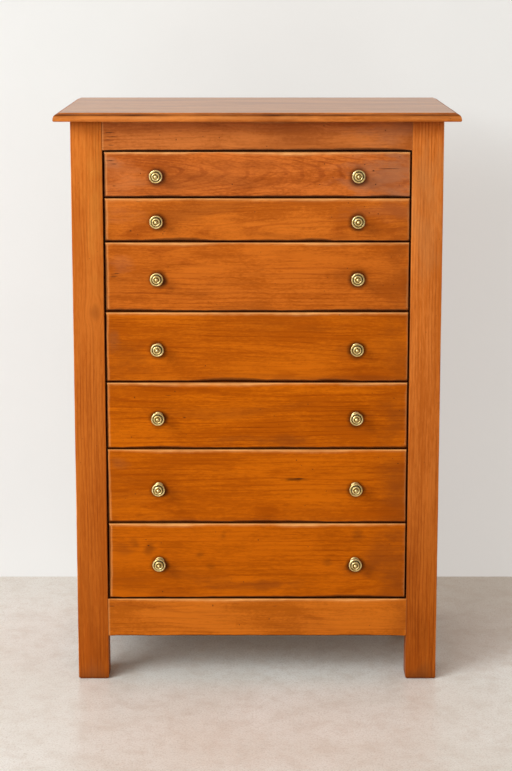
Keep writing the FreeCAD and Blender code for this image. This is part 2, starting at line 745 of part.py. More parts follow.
doc.recompute()
failed = [item.Name for item in doc.Objects if {"Invalid", "Error"} & set(item.State)]
if failed:
    raise SystemExit(f"these objects failed: {failed}")
for piece in subparts:
    if piece.Shape.isNull() or not piece.Shape.isValid() or not piece.Shape.Solids:
        raise SystemExit(f"{piece.Label} is not a valid solid")
os.makedirs("parts", exist_ok=True)
for piece in subparts:
    piece.Shape.exportStep(f"parts/{piece.Label}.step")
print(len(subparts), "sub-parts,", sum(len(piece.Shape.Solids) for piece in subparts), "solids")
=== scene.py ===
# %% [markdown]
# # A semainier, dressed over its solid model
# A semainier is a tall narrow chest with one drawer for each day of the week. This one is plain country
# work: straight posts, boards with hand-eased edges, a moulded top and small turned brass knobs, all under
# a warm wax. The solid model already holds every part at its true size. This lesson gives the parts that
# are seen their worn shapes and their finishes, and leaves the hidden ones as they are.

# %% Load the solid model
import math
import bmesh
import bpy
import numpy as np
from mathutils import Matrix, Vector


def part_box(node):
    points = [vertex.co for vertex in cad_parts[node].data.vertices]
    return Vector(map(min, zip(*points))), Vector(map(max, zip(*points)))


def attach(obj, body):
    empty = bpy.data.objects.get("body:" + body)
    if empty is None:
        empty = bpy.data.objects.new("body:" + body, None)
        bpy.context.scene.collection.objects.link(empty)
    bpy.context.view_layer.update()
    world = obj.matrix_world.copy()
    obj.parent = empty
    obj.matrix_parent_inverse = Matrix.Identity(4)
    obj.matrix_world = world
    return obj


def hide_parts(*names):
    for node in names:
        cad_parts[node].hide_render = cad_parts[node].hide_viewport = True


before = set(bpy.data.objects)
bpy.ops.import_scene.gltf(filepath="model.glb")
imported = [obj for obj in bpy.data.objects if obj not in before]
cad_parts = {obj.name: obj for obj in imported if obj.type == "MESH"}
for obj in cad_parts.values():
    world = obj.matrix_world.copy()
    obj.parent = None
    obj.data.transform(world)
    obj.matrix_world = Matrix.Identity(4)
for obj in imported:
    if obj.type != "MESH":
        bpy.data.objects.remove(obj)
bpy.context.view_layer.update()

scene = bpy.context.scene

# %% [markdown]
# ## Camera
# A tall chest is best seen with its uprights upright. The camera stands almost four metres in front, a
# little above the top board, looks down about nine degrees, and the lens is shifted down, so that the
# posts hardly lean together and the top still shows its depth.

# %% Camera
PICTURE_HEIGHT, FOCAL_LENGTH = 771, 1771.3  # pixels
LOOKS_DOWN = 8.919  # degrees
lens = bpy.data.cameras.new("camera")
lens.sensor_width = 36
lens.lens = FOCAL_LENGTH / PICTURE_HEIGHT * lens.sensor_width
lens.shift_y = -0.17
camera = bpy.data.objects.new("camera", lens)
camera.location = (-0.0025, -3.886, 1.5181)
camera.rotation_euler = (math.radians(90 - LOOKS_DOWN), 0, 0)
scene.collection.objects.link(camera)
scene.camera = camera
print("lens", round(lens.lens, 2), "mm")

# %% [markdown]
# ## Mixing a finish
# A finish is a tree of nodes that ends in the Principled shader. Writing trees by hand is long, so this
# class keeps one tree and has a short method for each step a finisher would name: take a place on the
# piece, cloud it, fade one value into another, lay one colour over another. Every method hands back the
# output of its node, ready to link on.

# %% Colours as a screen shows them
def tint(red, green, blue):
    """A colour given as it looks on a screen, 0 to 255, turned into the linear light that Blender mixes."""
    screen = np.array([red, green, blue]) / 255
    linear = np.where(screen <= 0.04045, screen / 12.92, ((screen + 0.055) / 1.055) ** 2.4)
    return (*linear.tolist(), 1)


print("middle grey", [round(value, 3) for value in tint(128, 128, 128)])

# %% A finish being mixed
class Finish:
    """One material while it is being mixed; colour is its colour so far, which begins as the ground."""

    def __init__(self, name, ground):
        self.colour = ground
        self.material = bpy.data.materials.new(name)
        self.material.use_nodes = True
        self.tree = self.material.node_tree
        self.shader = self.tree.nodes["Principled BSDF"]
        self.count = 0

    def write(self, socket, value):
        """Links a node's output to a socket, or writes a plain value; three numbers are a screen colour."""
        if isinstance(value, bpy.types.NodeSocket):
            self.tree.links.new(value, socket)
        else:
            screen = socket.type == "RGBA" and len(value) == 3
            socket.default_value = tint(*value) if screen else value

    def add(self, kind, sockets, **settings):
        """Adds one node, sets its settings, and links or writes its sockets."""
        node = self.tree.nodes.new("ShaderNode" + kind)
        for key, value in settings.items():
            setattr(node, key, value)
        for key, value in sockets.items():
            self.write(node.inputs[key], value)
        column, row = divmod(self.count, 6)
        node.location = (200 * column - 2600, 600 - 280 * row)
        self.count += 1
        return node

    def place(self):
        """Where a point lies, in metres from the middle of the floor under the chest."""
        return self.add("TexCoord", {}).outputs["Object"]

    def mapped(self, where, move=(0, 0, 0), turn=(0, 0, 0), stretch=(1, 1, 1)):
        """The place stretched, turned (in degrees), then moved."""
        turn = [math.radians(angle) for angle in turn]
        sockets = {"Vector": where, "Location": move, "Rotation": turn, "Scale": stretch}
        return self.add("Mapping", sockets).outputs[0]

    def cloud(self, where, scale=1.0, detail=3.0, roughness=0.55, distortion=0.0):
        """Smooth noise about 0.5; one cloud is about 1/scale of the place's unit across."""
        sockets = {"Vector": where, "Scale": scale, "Detail": detail, "Roughness": roughness,
                   "Distortion": distortion}
        return self.add("TexNoise", sockets).outputs[0]

    def grained(self, along, stretch, detail=4, roughness=0.6, distortion=0.0):
        """Noise drawn out along the grain; stretch is how many clouds go to a metre each way."""
        return self.cloud(self.mapped(along, stretch=stretch), 1.0, detail, roughness, distortion)

    def axes(self, place):
        """The x, y and z of a place."""
        return self.add("SeparateXYZ", {0: place}).outputs

    def fade(self, value, low, high, start=0.0, end=1.0):
        """Goes smoothly from start, where value is low or less, to end, where it is high or more."""
        sockets = {"Value": value, "From Min": low, "From Max": high, "To Min": start, "To Max": end}
        return self.add("MapRange", sockets, interpolation_type="SMOOTHSTEP").outputs[0]

    def calc(self, operation, first, second=0.0):
        """One sum on one or two values."""
        return self.add("Math", {0: first, 1: second}, operation=operation).outputs[0]

    def times(self, first, second):
        """One value times another."""
        return self.calc("MULTIPLY", first, second)

    def plus(self, first, *others):
        """All the values together."""
        for other in others:
            first = self.calc("ADD", first, other)
        return first

    def larger(self, first, second):
        """The larger of two values."""
        return self.calc("MAXIMUM", first, second)

    def lay(self, amount, layer, mode="MIX"):
        """Lays a colour over the colour so far, by that amount."""
        sockets = {0: amount, 6: self.colour, 7: layer}
        self.colour = self.add("Mix", sockets, data_type="RGBA", blend_type=mode).outputs[2]

    def glaze(self, amount, layer):
        """Lays a clear glaze, which lets through its own share of each light."""
        self.lay(amount, layer, "MULTIPLY")

    def marked(self, name):
        """A value that the piece's own mesh carries; it is 0 on a mesh without it."""
        return self.add("Attribute", {}, attribute_name=name).outputs["Fac"]

    def spots(self, where, scale, radius):
        """1 inside round spots, one to a cell of 1/scale, 0 outside; radius is a share of the cell."""
        cell = self.add("TexVoronoi", {"Vector": where, "Scale": scale})
        return self.fade(cell.outputs["Distance"], radius, 0.6 * radius)

    def reach(self, place, x, z, half_width, half_height):
        """How far a point of an upright board is from (x, z), 1 being on the ellipse of those half sizes."""
        move = (-x / half_width, 0, -z / half_height)
        aside = self.mapped(place, move, stretch=(1 / half_width, 0, 1 / half_height))
        return self.add("VectorMath", {0: aside}, operation="LENGTH").outputs["Value"]

    def done(self, roughness, height=None, **sockets):
        """Gives the shader the colour, a roughness, a relief in metres and other sockets (_ for a space)."""
        sockets = {"Base_Color": self.colour, "Roughness": roughness, **sockets}
        if height is not None:
            sockets["Normal"] = self.add("Bump", {"Height": height, "Distance": 1.0}).outputs[0]
        for key, value in sockets.items():
            self.write(self.shader.inputs[key.replace("_", " ")], value)
        return self.material


print("a finish is ready to be mixed")

# %% [markdown]
# ## Waxed wood
# The show wood is a warm fruitwood, flat-sawn, stained and waxed. What the eye reads is, from large to
# small: cloudy patches of stain, darker towards the ends of a board; long streaks; the growth rings, cut
# so flat that they run out in long arches; fine pores; and the marks of age: worm holes and short
# bruises. Painted light lies over them too: dark rings round the knobs, old polish and a painted shadow;
# a painted shadow under the top; posts darker towards the foot, a painted shade; old wax and dirt with
# painted shade in the joints; pale rubbed edges with a painted highlight; and a painted sheen on some
# ends. The rings could come from an image, but a tree is easy to work out: rings are tubes round its
# heart, so the distance from a slightly tilted line a few centimetres behind the middle of the board
# gives true arches on the face and true lines on the edges.

# %% How boards lie in the tree, and their stains
# Each turn brings a board's grain onto the first axis, its width onto the second.
CROSSWISE, UPRIGHT, FLAT = (-90, 0, 0), (90, 0, 90), (0, 0, 0)
SIDE_PANEL, FRONT_TO_BACK = (0, 90, 0), (-90, -90, 0)
DRAWN = (0.16, 1, 1)  # rings and clouds are about six times longer along the grain than across
# SOOT_AND_SHADOW darkens the rings round the knobs: old polish and a painted shadow of each knob.
UMBER, BURR, PAINTED_SHEEN, SOOT_AND_SHADOW = (132, 60, 14), (104, 46, 10), (168, 108, 74), (44, 16, 4)
# PAINTED_SHEEN is a painted sheen of the wax, laid on some ends as a mark.
DUSK, KNOT, SCAR = (134, 62, 14), (118, 52, 16), (52, 22, 10)
# RUBBED_AND_HIGHLIGHT is pale rubbed wood and a painted highlight; DIRT_AND_SHADE is old wax and dirt with
# painted shade in the gaps.
RUBBED_AND_HIGHLIGHT, DIRT_AND_SHADE = (251, 177, 106), (42, 11, 4)
LATE_GLAZE, PORE_GLAZE, FIBRE_GLAZE = (0.62, 0.48, 0.36, 1), (0.55, 0.42, 0.35, 1), (1.25, 1.22, 1.1, 1)
# LOW_SHADE_GLAZE is painted shade low on a post, TOP_SHADOW_GLAZE the top's painted shadow,
# SHELF_DIRT_AND_SHADE_GLAZE old polish and painted shade just under the top.
LOW_SHADE_GLAZE, TOP_SHADOW_GLAZE, SHELF_DIRT_AND_SHADE_GLAZE = (0.66, 0.54, 0.25, 1), (0.74, 0.66, 0.62, 1), (0.62, 0.50, 0.45, 1)
AMBER, GOLDEN, ROSY = (1, 0.6, 0.2, 1), (1, 0.8, 0.5, 1), (1, 0.95, 0.9, 1)  # sheens of the wax
BOARD_END = 0.33  # where a front ends, from the middle
WAVE_STEP = 0.314  # how wide the wave texture makes a ring at a scale of 1
print("stains", UMBER, BURR, PAINTED_SHEEN, SOOT_AND_SHADOW, DUSK, KNOT, SCAR, RUBBED_AND_HIGHLIGHT, DIRT_AND_SHADE)

# %% Grain that swings round knots
def along_grain(mix, lie, seed, knots, fleck):
    """Hands back the place on the piece; the place in the tree, which swings round the knots; the same
    laid along the grain, moved by chance and swayed; and a number by chance."""
    place = grown = mix.place()
    for x, z, *halves in knots:
        far = mix.reach(place, x, z, *halves)
        aside = mix.mapped(place, (-x, 0, -z), stretch=(1, 0, 1))
        near = mix.fade(far, 3.2, 0.4, 0, 0.7)
        push = mix.add("VectorMath", {0: aside, 3: near}, operation="SCALE").outputs[0]
        grown = mix.add("VectorMath", {0: grown, 1: push}, operation="SUBTRACT").outputs[0]
    chance = np.random.default_rng(seed).uniform(-5, 5, 3).tolist()
    along = mix.mapped(grown, chance, lie)
    sway = mix.grained(along, (0.55 * fleck, 20, 20), 3, 0.5)
    sway = mix.times(mix.calc("SUBTRACT", sway, 0.5), 0.0014 * fleck)
    sway = mix.add("CombineXYZ", {1: sway}).outputs[0]
    along = mix.add("VectorMath", {0: along, 1: sway}, operation="ADD").outputs[0]
    return place, grown, along, chance[0]


print("the grain sways and swings round knots")

# %% Stain and growth rings
def streaked(mix, along, fleck, pale):
    """Streaks first, then a tone that wanders over a hand's breadth; hands back the finest speckle."""
    flecks = mix.grained(along, (fleck, 260, 260), distortion=0.2)
    streaks = mix.grained(along, (4, 85, 85), distortion=0.3)
    clouds = mix.grained(along, (0.45 * fleck, 16, 16), distortion=0.3)
    speckle = mix.grained(along, (8 * fleck, 300, 300), 3, 0.7)
    tone = mix.plus(mix.times(flecks, 0.13), mix.times(streaks, 0.17), mix.times(clouds, 0.44),
                    mix.times(speckle, 0.26))
    mix.lay(mix.fade(tone, 0.42, 0.575), pale)
    return speckle


def ringed(mix, grown, rough_place, lie, middle, tilt, heart, ring, figure, phase):
    """Growth rings round the heart of the tree, found from the board's middle; hands back the late wood."""
    turned = (lie[0], lie[1] + tilt[0], lie[2] + tilt[1])
    about = mix.mapped(grown, [-value for value in middle])
    tree_place = mix.mapped(mix.mapped(about, (0, *heart), turned), stretch=DRAWN)
    rings = mix.add(
        "TexWave",
        {"Vector": tree_place, "Scale": WAVE_STEP / ring, "Distortion": 7.0, "Detail": 2.0,
         "Detail Scale": 0.5, "Detail Roughness": 0.5, "Phase Offset": phase},
        wave_type="RINGS", rings_direction="X", wave_profile="SIN",
    ).outputs["Fac"]
    late_wood = mix.fade(rings, 0.7, 1.0)
    ring_strength = mix.fade(mix.cloud(rough_place, 30.0, 3), 0.36, 0.64, 0.15 * figure, figure)
    mix.glaze(mix.times(late_wood, ring_strength), LATE_GLAZE)
    return late_wood


print("rings are drawn out", DRAWN)

# %% Marks of use, worm holes and bruises
def used(mix, place, along, marks, knots, knobs, foot, shelf):
    """Marks, knots and knob rings (polish and painted shadow) with frayed edges, and by height painted
    shade low on a post and the top's painted shadow.
    """
    across, _, above = mix.axes(place)
    frayed = mix.fade(mix.grained(along, (14, 36, 36)), 0.3, 0.7, -0.1, 0.9)
    for *mark, strength, mark_colour in marks:
        far = mix.plus(mix.reach(place, *mark), frayed)
        mix.lay(mix.fade(far, 1.65, 0.35, 0, strength), mark_colour)
    for knot in knots:
        far = mix.plus(mix.reach(place, *knot), frayed)
        mix.lay(mix.fade(far, 2.2, 0.5, 0, 0.35), KNOT)
    if knobs:
        # The rings are old polish and a painted shadow of the knob: they sit a little right of the knobs and
        # lower, more so on the lower drawers.
        knob_x, shadow_ring_z = knobs[0], knobs[1] - 0.004 - 0.005 * (1.1 - knobs[1])
        side = mix.calc("SUBTRACT", mix.calc("ABSOLUTE", mix.calc("SUBTRACT", across, 0.0012)), knob_x)
        up = mix.calc("SUBTRACT", above, shadow_ring_z)
        far = mix.calc("SQRT", mix.plus(mix.times(side, side), mix.times(up, up)))
        far = mix.plus(far, mix.times(frayed, 0.004))
        mix.lay(mix.fade(far, 0.0265, 0.013, 0, 0.9), SOOT_AND_SHADOW)
    # Painted shade: a post grows darker from a height down towards its foot, as the light falls from above.
    if foot[0]:
        mix.glaze(mix.fade(above, foot[1], 0.05, 0, foot[0]), LOW_SHADE_GLAZE)
    # Painted shadow of the top on the board below it, weaker towards the left where the light comes from, and
    # right under the top a dark line of old polish and painted shade.
    if shelf:
        painted_top_shadow = mix.fade(above, shelf - 0.038, shelf - 0.010)
        painted_top_shadow = mix.times(painted_top_shadow, mix.fade(across, -0.34, -0.15, 0.35, 0.85))
        mix.glaze(painted_top_shadow, TOP_SHADOW_GLAZE)
        mix.glaze(mix.fade(above, shelf - 0.007, shelf - 0.001, 0, 0.8), SHELF_DIRT_AND_SHADE_GLAZE)


def scarred(mix, place, along, speckle, holes, nicks):
    """Worm holes and short bruises, thick in some places and missing in others, and the single nicks."""
    peopled = mix.fade(mix.cloud(along, 11.0, 1), 0.48, 0.62)
    pit = mix.times(mix.spots(along, 50.0, 0.075), peopled)
    bruise = mix.spots(mix.mapped(along, stretch=(0.14, 1, 1)), 55.0, 0.065)
    bruise = mix.times(bruise, mix.fade(mix.cloud(along, 8.0, 1), 0.5, 0.6))
    scar = mix.times(mix.larger(pit, mix.times(bruise, 0.75)), holes)
    for nick in nicks:
        far = mix.plus(mix.reach(place, *nick), mix.times(speckle, 0.8))
        scar = mix.larger(scar, mix.fade(far, 1.5, 0.7, 0, 0.9))
    mix.lay(scar, SCAR)
    return scar


print("worm holes are stained", SCAR)

# %% Waxed wood
def waxed_wood(name, lie, pale, deep, seed, middle=(0, 0, 0), tilt=(0.0, 0.0), heart=(0.02, 0.07),
               ring=0.007, ends=None, fleck=15, figure=0.4, cloudy=0.5, holes=0.8, marks=(), nicks=(),
               knots=(), knobs=None, foot=(0.0, 1.0), shelf=0.0, gloss=(0.12, 0.0, 0.3), amber=AMBER,
               relief=1.0):
    """Stained and waxed wood.

    The tree's heart runs past middle, the middle of the board's face, heart away across and behind, and
    tilt turns it, in degrees: a few degrees make long nested arches. ring is a year's growth in metres,
    figure how dark the rings are, fleck how many flecks there are to a metre, ends how far from the
    middle the stained ends begin, cloudy and holes how strong the clouds of stain and the worm holes
    are. Places are x, z, half width, half height: marks are clouds with a strength and a colour, nicks
    black holes and scratches, knots hard brown spots that the grain swings round. knobs is the x and z
    of two knobs with dark rings round their feet, old polish and a painted shadow of each knob. foot is
    a painted shade that darkens a post by a share, from a height down. shelf is the height of the top's
    underside, below which the top's shadow is painted, with a line of old polish and painted shade right
    under it. gloss is the specular level, the weight of the wax coat and its roughness, amber the wax's
    own sheen, relief how much the planed surface rolls.
    """
    mix = Finish(name, deep)
    place, grown, along, phase = along_grain(mix, lie, seed, knots, fleck)
    rough_place = mix.mapped(along, stretch=DRAWN)
    speckle = streaked(mix, along, fleck, pale)
    late_wood = ringed(mix, grown, rough_place, lie, middle, tilt, heart, ring, figure, phase)

    # Pores and fine figure.
    fine = mix.grained(along, (0.45 * fleck, 260, 260), 4, 0.7)
    mix.glaze(mix.fade(fine, 0.54, 0.7, 0, 0.45), PORE_GLAZE)
    mix.glaze(mix.fade(fine, 0.46, 0.32, 0, 0.35), FIBRE_GLAZE)

    # Clouds of darker, browner stain.
    cloud = mix.cloud(rough_place, 14.0, 3, 0.6, 0.6)
    dull = mix.fade(cloud, 0.5, 0.72, 0, cloudy)
    if ends is not None:
        across = mix.axes(place)["X"]
        near_end = mix.plus(mix.fade(across, ends, BOARD_END, 0, 0.72),
                            mix.fade(across, -ends - 0.04, -BOARD_END, 0, 0.3))
        dark_patch = mix.fade(mix.cloud(along, 15.0, 3, 0.65), 0.3, 0.66, 0.1, 0.8)
        dull = mix.larger(dull, mix.times(near_end, dark_patch))
    mix.lay(dull, DUSK)
    used(mix, place, along, marks, knots, knobs, foot, shelf)
    scar = scarred(mix, place, along, speckle, holes, nicks)

    # Rubbed edges are pale, partly a painted highlight; the edges into the gaps are black with old wax and
    # dirt, and with painted shade.
    wear_and_highlight = mix.times(mix.marked("wear_and_highlight"), mix.fade(mix.cloud(along, 30.0, 3), 0.3, 0.6, 0.8, 1.0))
    mix.lay(wear_and_highlight, RUBBED_AND_HIGHLIGHT)
    mix.lay(mix.marked("grime_and_shade"), DIRT_AND_SHADE)

    # The wax is matt here and bright there; plane marks, grain and holes give the relief, in metres.
    bright, matt = 0.43 - 0.07 * relief, 0.43 + 0.07 * relief
    roughness = mix.fade(mix.cloud(along, 22.0, 3), 0.35, 0.65, bright, matt)
    hills = mix.times(mix.cloud(rough_place, 16.0, 2), 0.0012 * relief)
    height = mix.plus(hills, mix.times(fine, 0.00012), mix.times(late_wood, 0.00004))
    height = mix.calc("SUBTRACT", height, mix.times(scar, 0.0006))
    specular, coat, coat_roughness = gloss
    return mix.done(roughness, height, Specular_IOR_Level=specular, Specular_Tint=amber,
                    Coat_Weight=coat, Coat_Roughness=coat_roughness)


print("a front's wood ends", BOARD_END, "m from its middle")

# %% [markdown]
# ## Bare wood, brass and steel
# Inside, the drawers and rails are planed deal, left bare: pale, a little dusty, with plain streaks. The
# knobs are cast and turned brass that is rubbed bright on every ridge and stays dark in every groove, so
# the mesh carries a mark for its grooves. The screws are plated steel gone dull.

# %% Bare wood, brass and steel
def bare_wood(name, lie, seed, pale=(214, 178, 128), deep=(176, 134, 86), stain_and_shade=False):
    """Planed softwood: broad pale rings, darker late wood, a few grey smudges; stain_and_shade makes the
    front dark, a stain and a painted shade seen in the gaps.
    """
    mix = Finish(name, deep)
    chance = np.random.default_rng(seed).uniform(-5, 5, 3)
    along = mix.mapped(mix.place(), chance.tolist(), lie)
    streaks = mix.grained(along, (1.6, 34, 34), distortion=0.5)
    mix.lay(mix.fade(streaks, 0.36, 0.62), pale)
    fine = mix.grained(along, (8, 300, 300), 3, 0.7)
    mix.lay(mix.fade(fine, 0.55, 0.75, 0, 0.35), (150, 105, 62))
    smudge = mix.fade(mix.cloud(along, 9.0, 3, 0.6), 0.55, 0.75, 0, 0.3)
    mix.lay(smudge, (128, 100, 74))
    # Painted shade: the front edge, seen through the gaps between drawers, is made dark, partly as stain.
    if stain_and_shade:
        depth = mix.axes(mix.place())["Y"]
        mix.lay(mix.fade(depth, -0.12, -0.15, 0, 0.95), (38, 14, 6))
    height = mix.times(fine, 0.0002)
    return mix.done(mix.fade(fine, 0.3, 0.7, 0.62, 0.78), height, Specular_IOR_Level=0.3)


def aged_brass(name):
    """Brass rubbed bright on the ridges and brown-green in the grooves, which the mesh marks as grimy."""
    mix = Finish(name, (252, 232, 172))
    place = mix.place()
    tarnish = mix.cloud(place, 160.0, 4, 0.6)
    mix.lay(mix.fade(tarnish, 0.35, 0.7), (212, 184, 116))
    groove = mix.marked("grime_and_shade")
    mix.lay(mix.fade(groove, 0.0, 0.7), (34, 22, 6))
    roughness = mix.plus(mix.fade(tarnish, 0.3, 0.7, 0.24, 0.42), mix.times(groove, 0.3))
    metallic = mix.fade(groove, 0.1, 0.8, 1.0, 0.2)
    height = mix.times(mix.cloud(place, 700.0, 3), 0.00003)
    return mix.done(roughness, height, Metallic=metallic)


def dull_steel(name):
    """Zinc-plated steel gone grey: small clouds of brighter and duller metal."""
    mix = Finish(name, (150, 148, 142))
    bloom = mix.cloud(mix.place(), 420.0, 4, 0.65)
    mix.lay(mix.fade(bloom, 0.35, 0.65), (196, 194, 188))
    return mix.done(mix.fade(bloom, 0.3, 0.7, 0.34, 0.52), mix.times(bloom, 0.00004), Metallic=1.0)


print("finishes: waxed wood, bare wood, aged brass, dull steel")

# %% [markdown]
# ## The studio
# A pale polished-concrete floor and an off-white wall close behind the chest. The wall is painted on its
# front only: seen from behind it is clear, so the back of the chest can be looked at too, and it takes
# no light away from the chest. A part of its brightness is its own glow, for the eye and for shiny
# surfaces. One broad lamp high on the left gives the soft shadows to the right, a small lamp in front
# gives the glints, and the room's own glow fills the shadows. Two dark sheets help unseen: a card at the
# right front shows only in shiny surfaces, so that the brass has a dark side, and a low flag under the
# chest keeps the light from behind off the floor there.

# %% Sheets of the studio
def standing(start, end, low, high):
    """The corners of an upright sheet: it runs from start to end (x, y), from one height to the other."""
    return [(*start, low), (*end, low), (*end, high), (*start, high)]


def stage_sheet(name, corners, material, unseen=()):
    """One flat sheet of the studio; unseen are the kinds of ray that pass through it."""
    mesh = bpy.data.meshes.new(name)
    mesh.from_pydata(corners, [], [(0, 1, 2, 3)])
    mesh.materials.append(material)
    sheet = bpy.data.objects.new(name, mesh)
    scene.collection.objects.link(sheet)
    for ray in unseen:
        setattr(sheet, f"visible_{ray}", False)


print("a sheet's corners", standing((0, 0), (1, 0), 0, 1))

# %% Floor and wall
def concrete():
    """Polished concrete: broad pale clouds with a fine speckle, hardly shiny."""
    mix = Finish("pale_concrete", (243, 238, 231))
    place = mix.place()
    broad = mix.cloud(place, 2.6, 5, 0.6, 0.3)
    mix.lay(mix.fade(broad, 0.32, 0.68), (253, 250, 246))
    trowelled, speckle = mix.cloud(place, 19.0, 5, 0.7), mix.cloud(place, 60.0, 4, 0.7)
    mix.lay(mix.fade(trowelled, 0.42, 0.7, 0, 0.5), (224, 211, 200))
    mix.lay(mix.fade(speckle, 0.5, 0.75, 0, 0.55), (222, 212, 202))
    mix.lay(mix.fade(mix.cloud(place, 260.0, 3, 0.7), 0.4, 0.75, 0, 0.6), (198, 186, 174))
    roughness = mix.fade(broad, 0.3, 0.7, 0.3, 0.42)
    return mix.done(roughness, mix.times(speckle, 0.0002), Specular_IOR_Level=0.8)


def plaster():
    """Off-white plaster with faint clouds, and nothing at all on its back."""
    mix = Finish("off_white_plaster", (231, 232, 232))
    place = mix.place()
    mix.lay(mix.fade(mix.cloud(place, 1.7, 4, 0.55), 0.3, 0.7), (238, 239, 239))
    material = mix.done(0.85, mix.times(mix.cloud(place, 90.0, 3), 0.0002))
    clear = mix.add("BsdfTransparent", {})
    behind = mix.add("NewGeometry", {}).outputs["Backfacing"]
    rays = mix.add("LightPath", {})
    shown = mix.larger(rays.outputs["Is Camera Ray"], rays.outputs["Is Glossy Ray"])
    pale = mix.add("Emission", {"Color": (241, 238, 234), "Strength": 1.0})
    front = mix.add("MixShader", {0: mix.times(shown, 0.55), 1: mix.shader.outputs[0], 2: pale.outputs[0]})
    sides = mix.add("MixShader", {0: behind, 1: front.outputs[0], 2: clear.outputs[0]})
    mix.tree.links.new(sides.outputs[0], mix.tree.nodes["Material Output"].inputs["Surface"])
    return material


WALL_Y, FLAG_Y = 0.467, 0.07
black = Finish("black_card", (26, 20, 14)).done(0.9)
stage_sheet("floor", [(-7, -7, 0), (7, -7, 0), (7, 7, 0), (-7, 7, 0)], concrete())
stage_sheet("wall", standing((-5, WALL_Y), (5, WALL_Y), 0, 4), plaster(), ("shadow", "diffuse"))
stage_sheet("black_card", standing((0.6, -3.4), (4.6, -1.6), -1.2, 1.4), black,
            ("camera", "diffuse", "transmission", "shadow"))
stage_sheet("low_flag", standing((-0.38, FLAG_Y), (0.38, FLAG_Y), 0.001, 0.098), black,
            ("camera", "glossy", "transmission"))
print("wall", WALL_Y, "m behind the middle")

# %% Lamps and the room's glow
CHEST_MIDDLE = np.array([0, 0, 0.7])


def soft_lamp(name, place, width, power, colour):
    """A square lamp of that width, turned to face the middle of the chest."""
    light = bpy.data.lights.new(name, "AREA")
    light.size, light.energy, light.color = width, power, colour
    lamp = bpy.data.objects.new(name, light)
    lamp.location = place
    x, y, z = CHEST_MIDDLE - place
    lamp.rotation_euler = (math.pi / 2 + math.atan2(z, math.hypot(x, y)), 0, math.atan2(-x, y))
    scene.collection.objects.link(lamp)


soft_lamp("window_lamp", (-5.6, -4.6, 4.4), 4.2, 535, (0.895, 0.975, 1.0))
soft_lamp("front_lamp", (-1.5, -4.4, 2.3), 0.9, 32, (0.94, 0.98, 1.0))
scene.world = bpy.data.worlds.new("room")
scene.world.use_nodes = True
glow = scene.world.node_tree.nodes["Background"]
glow.inputs["Color"].default_value = (1.0, 0.90, 0.775, 1)
glow.inputs["Strength"].default_value = 0.47
scene.view_settings.view_transform = "Standard"

# %% [markdown]
# ## Surfaces from arrays
# Every new piece is made of patches: a patch is a grid of points, worked out for all its rows and columns
# at once, and each point carries how worn it is, with a painted highlight, and how grimy, with painted
# shade. make_piece strings patches into one mesh, welds the points they share, turns all faces outwards,
# and hangs the piece on its body. The other helpers make curves and fill a loop of points with a grid.

# %% Patches into a piece
WELD, SLIVER = 2e-6, 1e-7  # points nearer than this become one, faces thinner than this go


def patch(points, wear_and_highlight=0.0, grime_and_shade=0.0, closed=False, slot=0):
    """A grid of points (rows, columns, 3) with its marks; closed joins the last column to the first, and
    slot says which of the piece's finishes it wears."""
    points = np.asarray(points, float)
    shape = points.shape[:2]
    return points, np.broadcast_to(wear_and_highlight, shape), np.broadcast_to(grime_and_shade, shape), closed, slot


def make_piece(name, patches, materials, body, stands_for=(), crease=38):
    """Joins patches into one smooth-shaded mesh whose edges over crease degrees stay crisp."""
    points, faces, wear_and_highlight, grime_and_shade, slots, first = [], [], [], [], [], 0
    for grid, wear_and_highlight_grid, grime_and_shade_grid, closed, finish in patches:
        rows, columns = grid.shape[:2]
        index = first + np.arange(rows * columns).reshape(rows, columns)
        if closed:
            index = np.concatenate([index, index[:, :1]], axis=1)
        corners = [index[:-1, :-1], index[:-1, 1:], index[1:, 1:], index[1:, :-1]]
        faces.append(np.stack(corners, axis=-1).reshape(-1, 4))
        slots.append(np.full(len(faces[-1]), finish))
        points.append(grid.reshape(-1, 3))
        wear_and_highlight.append(wear_and_highlight_grid.reshape(-1))
        grime_and_shade.append(grime_and_shade_grid.reshape(-1))
        first += rows * columns
    mesh = bpy.data.meshes.new(name)
    mesh.from_pydata(np.concatenate(points).tolist(), [], np.concatenate(faces).tolist())
    for material in materials:
        mesh.materials.append(material)
    mesh.polygons.foreach_set("material_index", np.concatenate(slots).astype(np.int32))
    for mark, values in (("wear_and_highlight", wear_and_highlight), ("grime_and_shade", grime_and_shade)):
        layer = mesh.attributes.new(mark, "FLOAT", "POINT")
        layer.data.foreach_set("value", np.concatenate(values).astype(np.float32))
    work = bmesh.new()
    work.from_mesh(mesh)
    bmesh.ops.remove_doubles(work, verts=work.verts, dist=WELD)
    bmesh.ops.dissolve_degenerate(work, edges=work.edges, dist=SLIVER)
    bmesh.ops.recalc_face_normals(work, faces=work.faces)
    work.to_mesh(mesh)
    work.free()
    mesh.shade_smooth()
    mesh.set_sharp_from_angle(angle=math.radians(crease))
    piece = bpy.data.objects.new(name, mesh)
    scene.collection.objects.link(piece)
    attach(piece, body)
    if stands_for:
        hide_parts(*stands_for)
    print(name, len(mesh.vertices), "points", len(mesh.polygons), "faces")


print("points nearer than", WELD, "m are welded")

# %% Curves and grids
def mixed(low, high, share):
    """The value that share of the way from low to high."""
    return low + (high - low) * share


def joined(*axes):
    """Points from one array for each axis, spread out to the same rows and columns."""
    return np.stack(np.broadcast_arrays(*axes), axis=-1)


def bell(value, centre, width, power=2):
    """1 at the centre, falling to almost nothing two widths away; a higher power makes a flatter top."""
    return np.exp(-(((value - centre) / width) ** power))


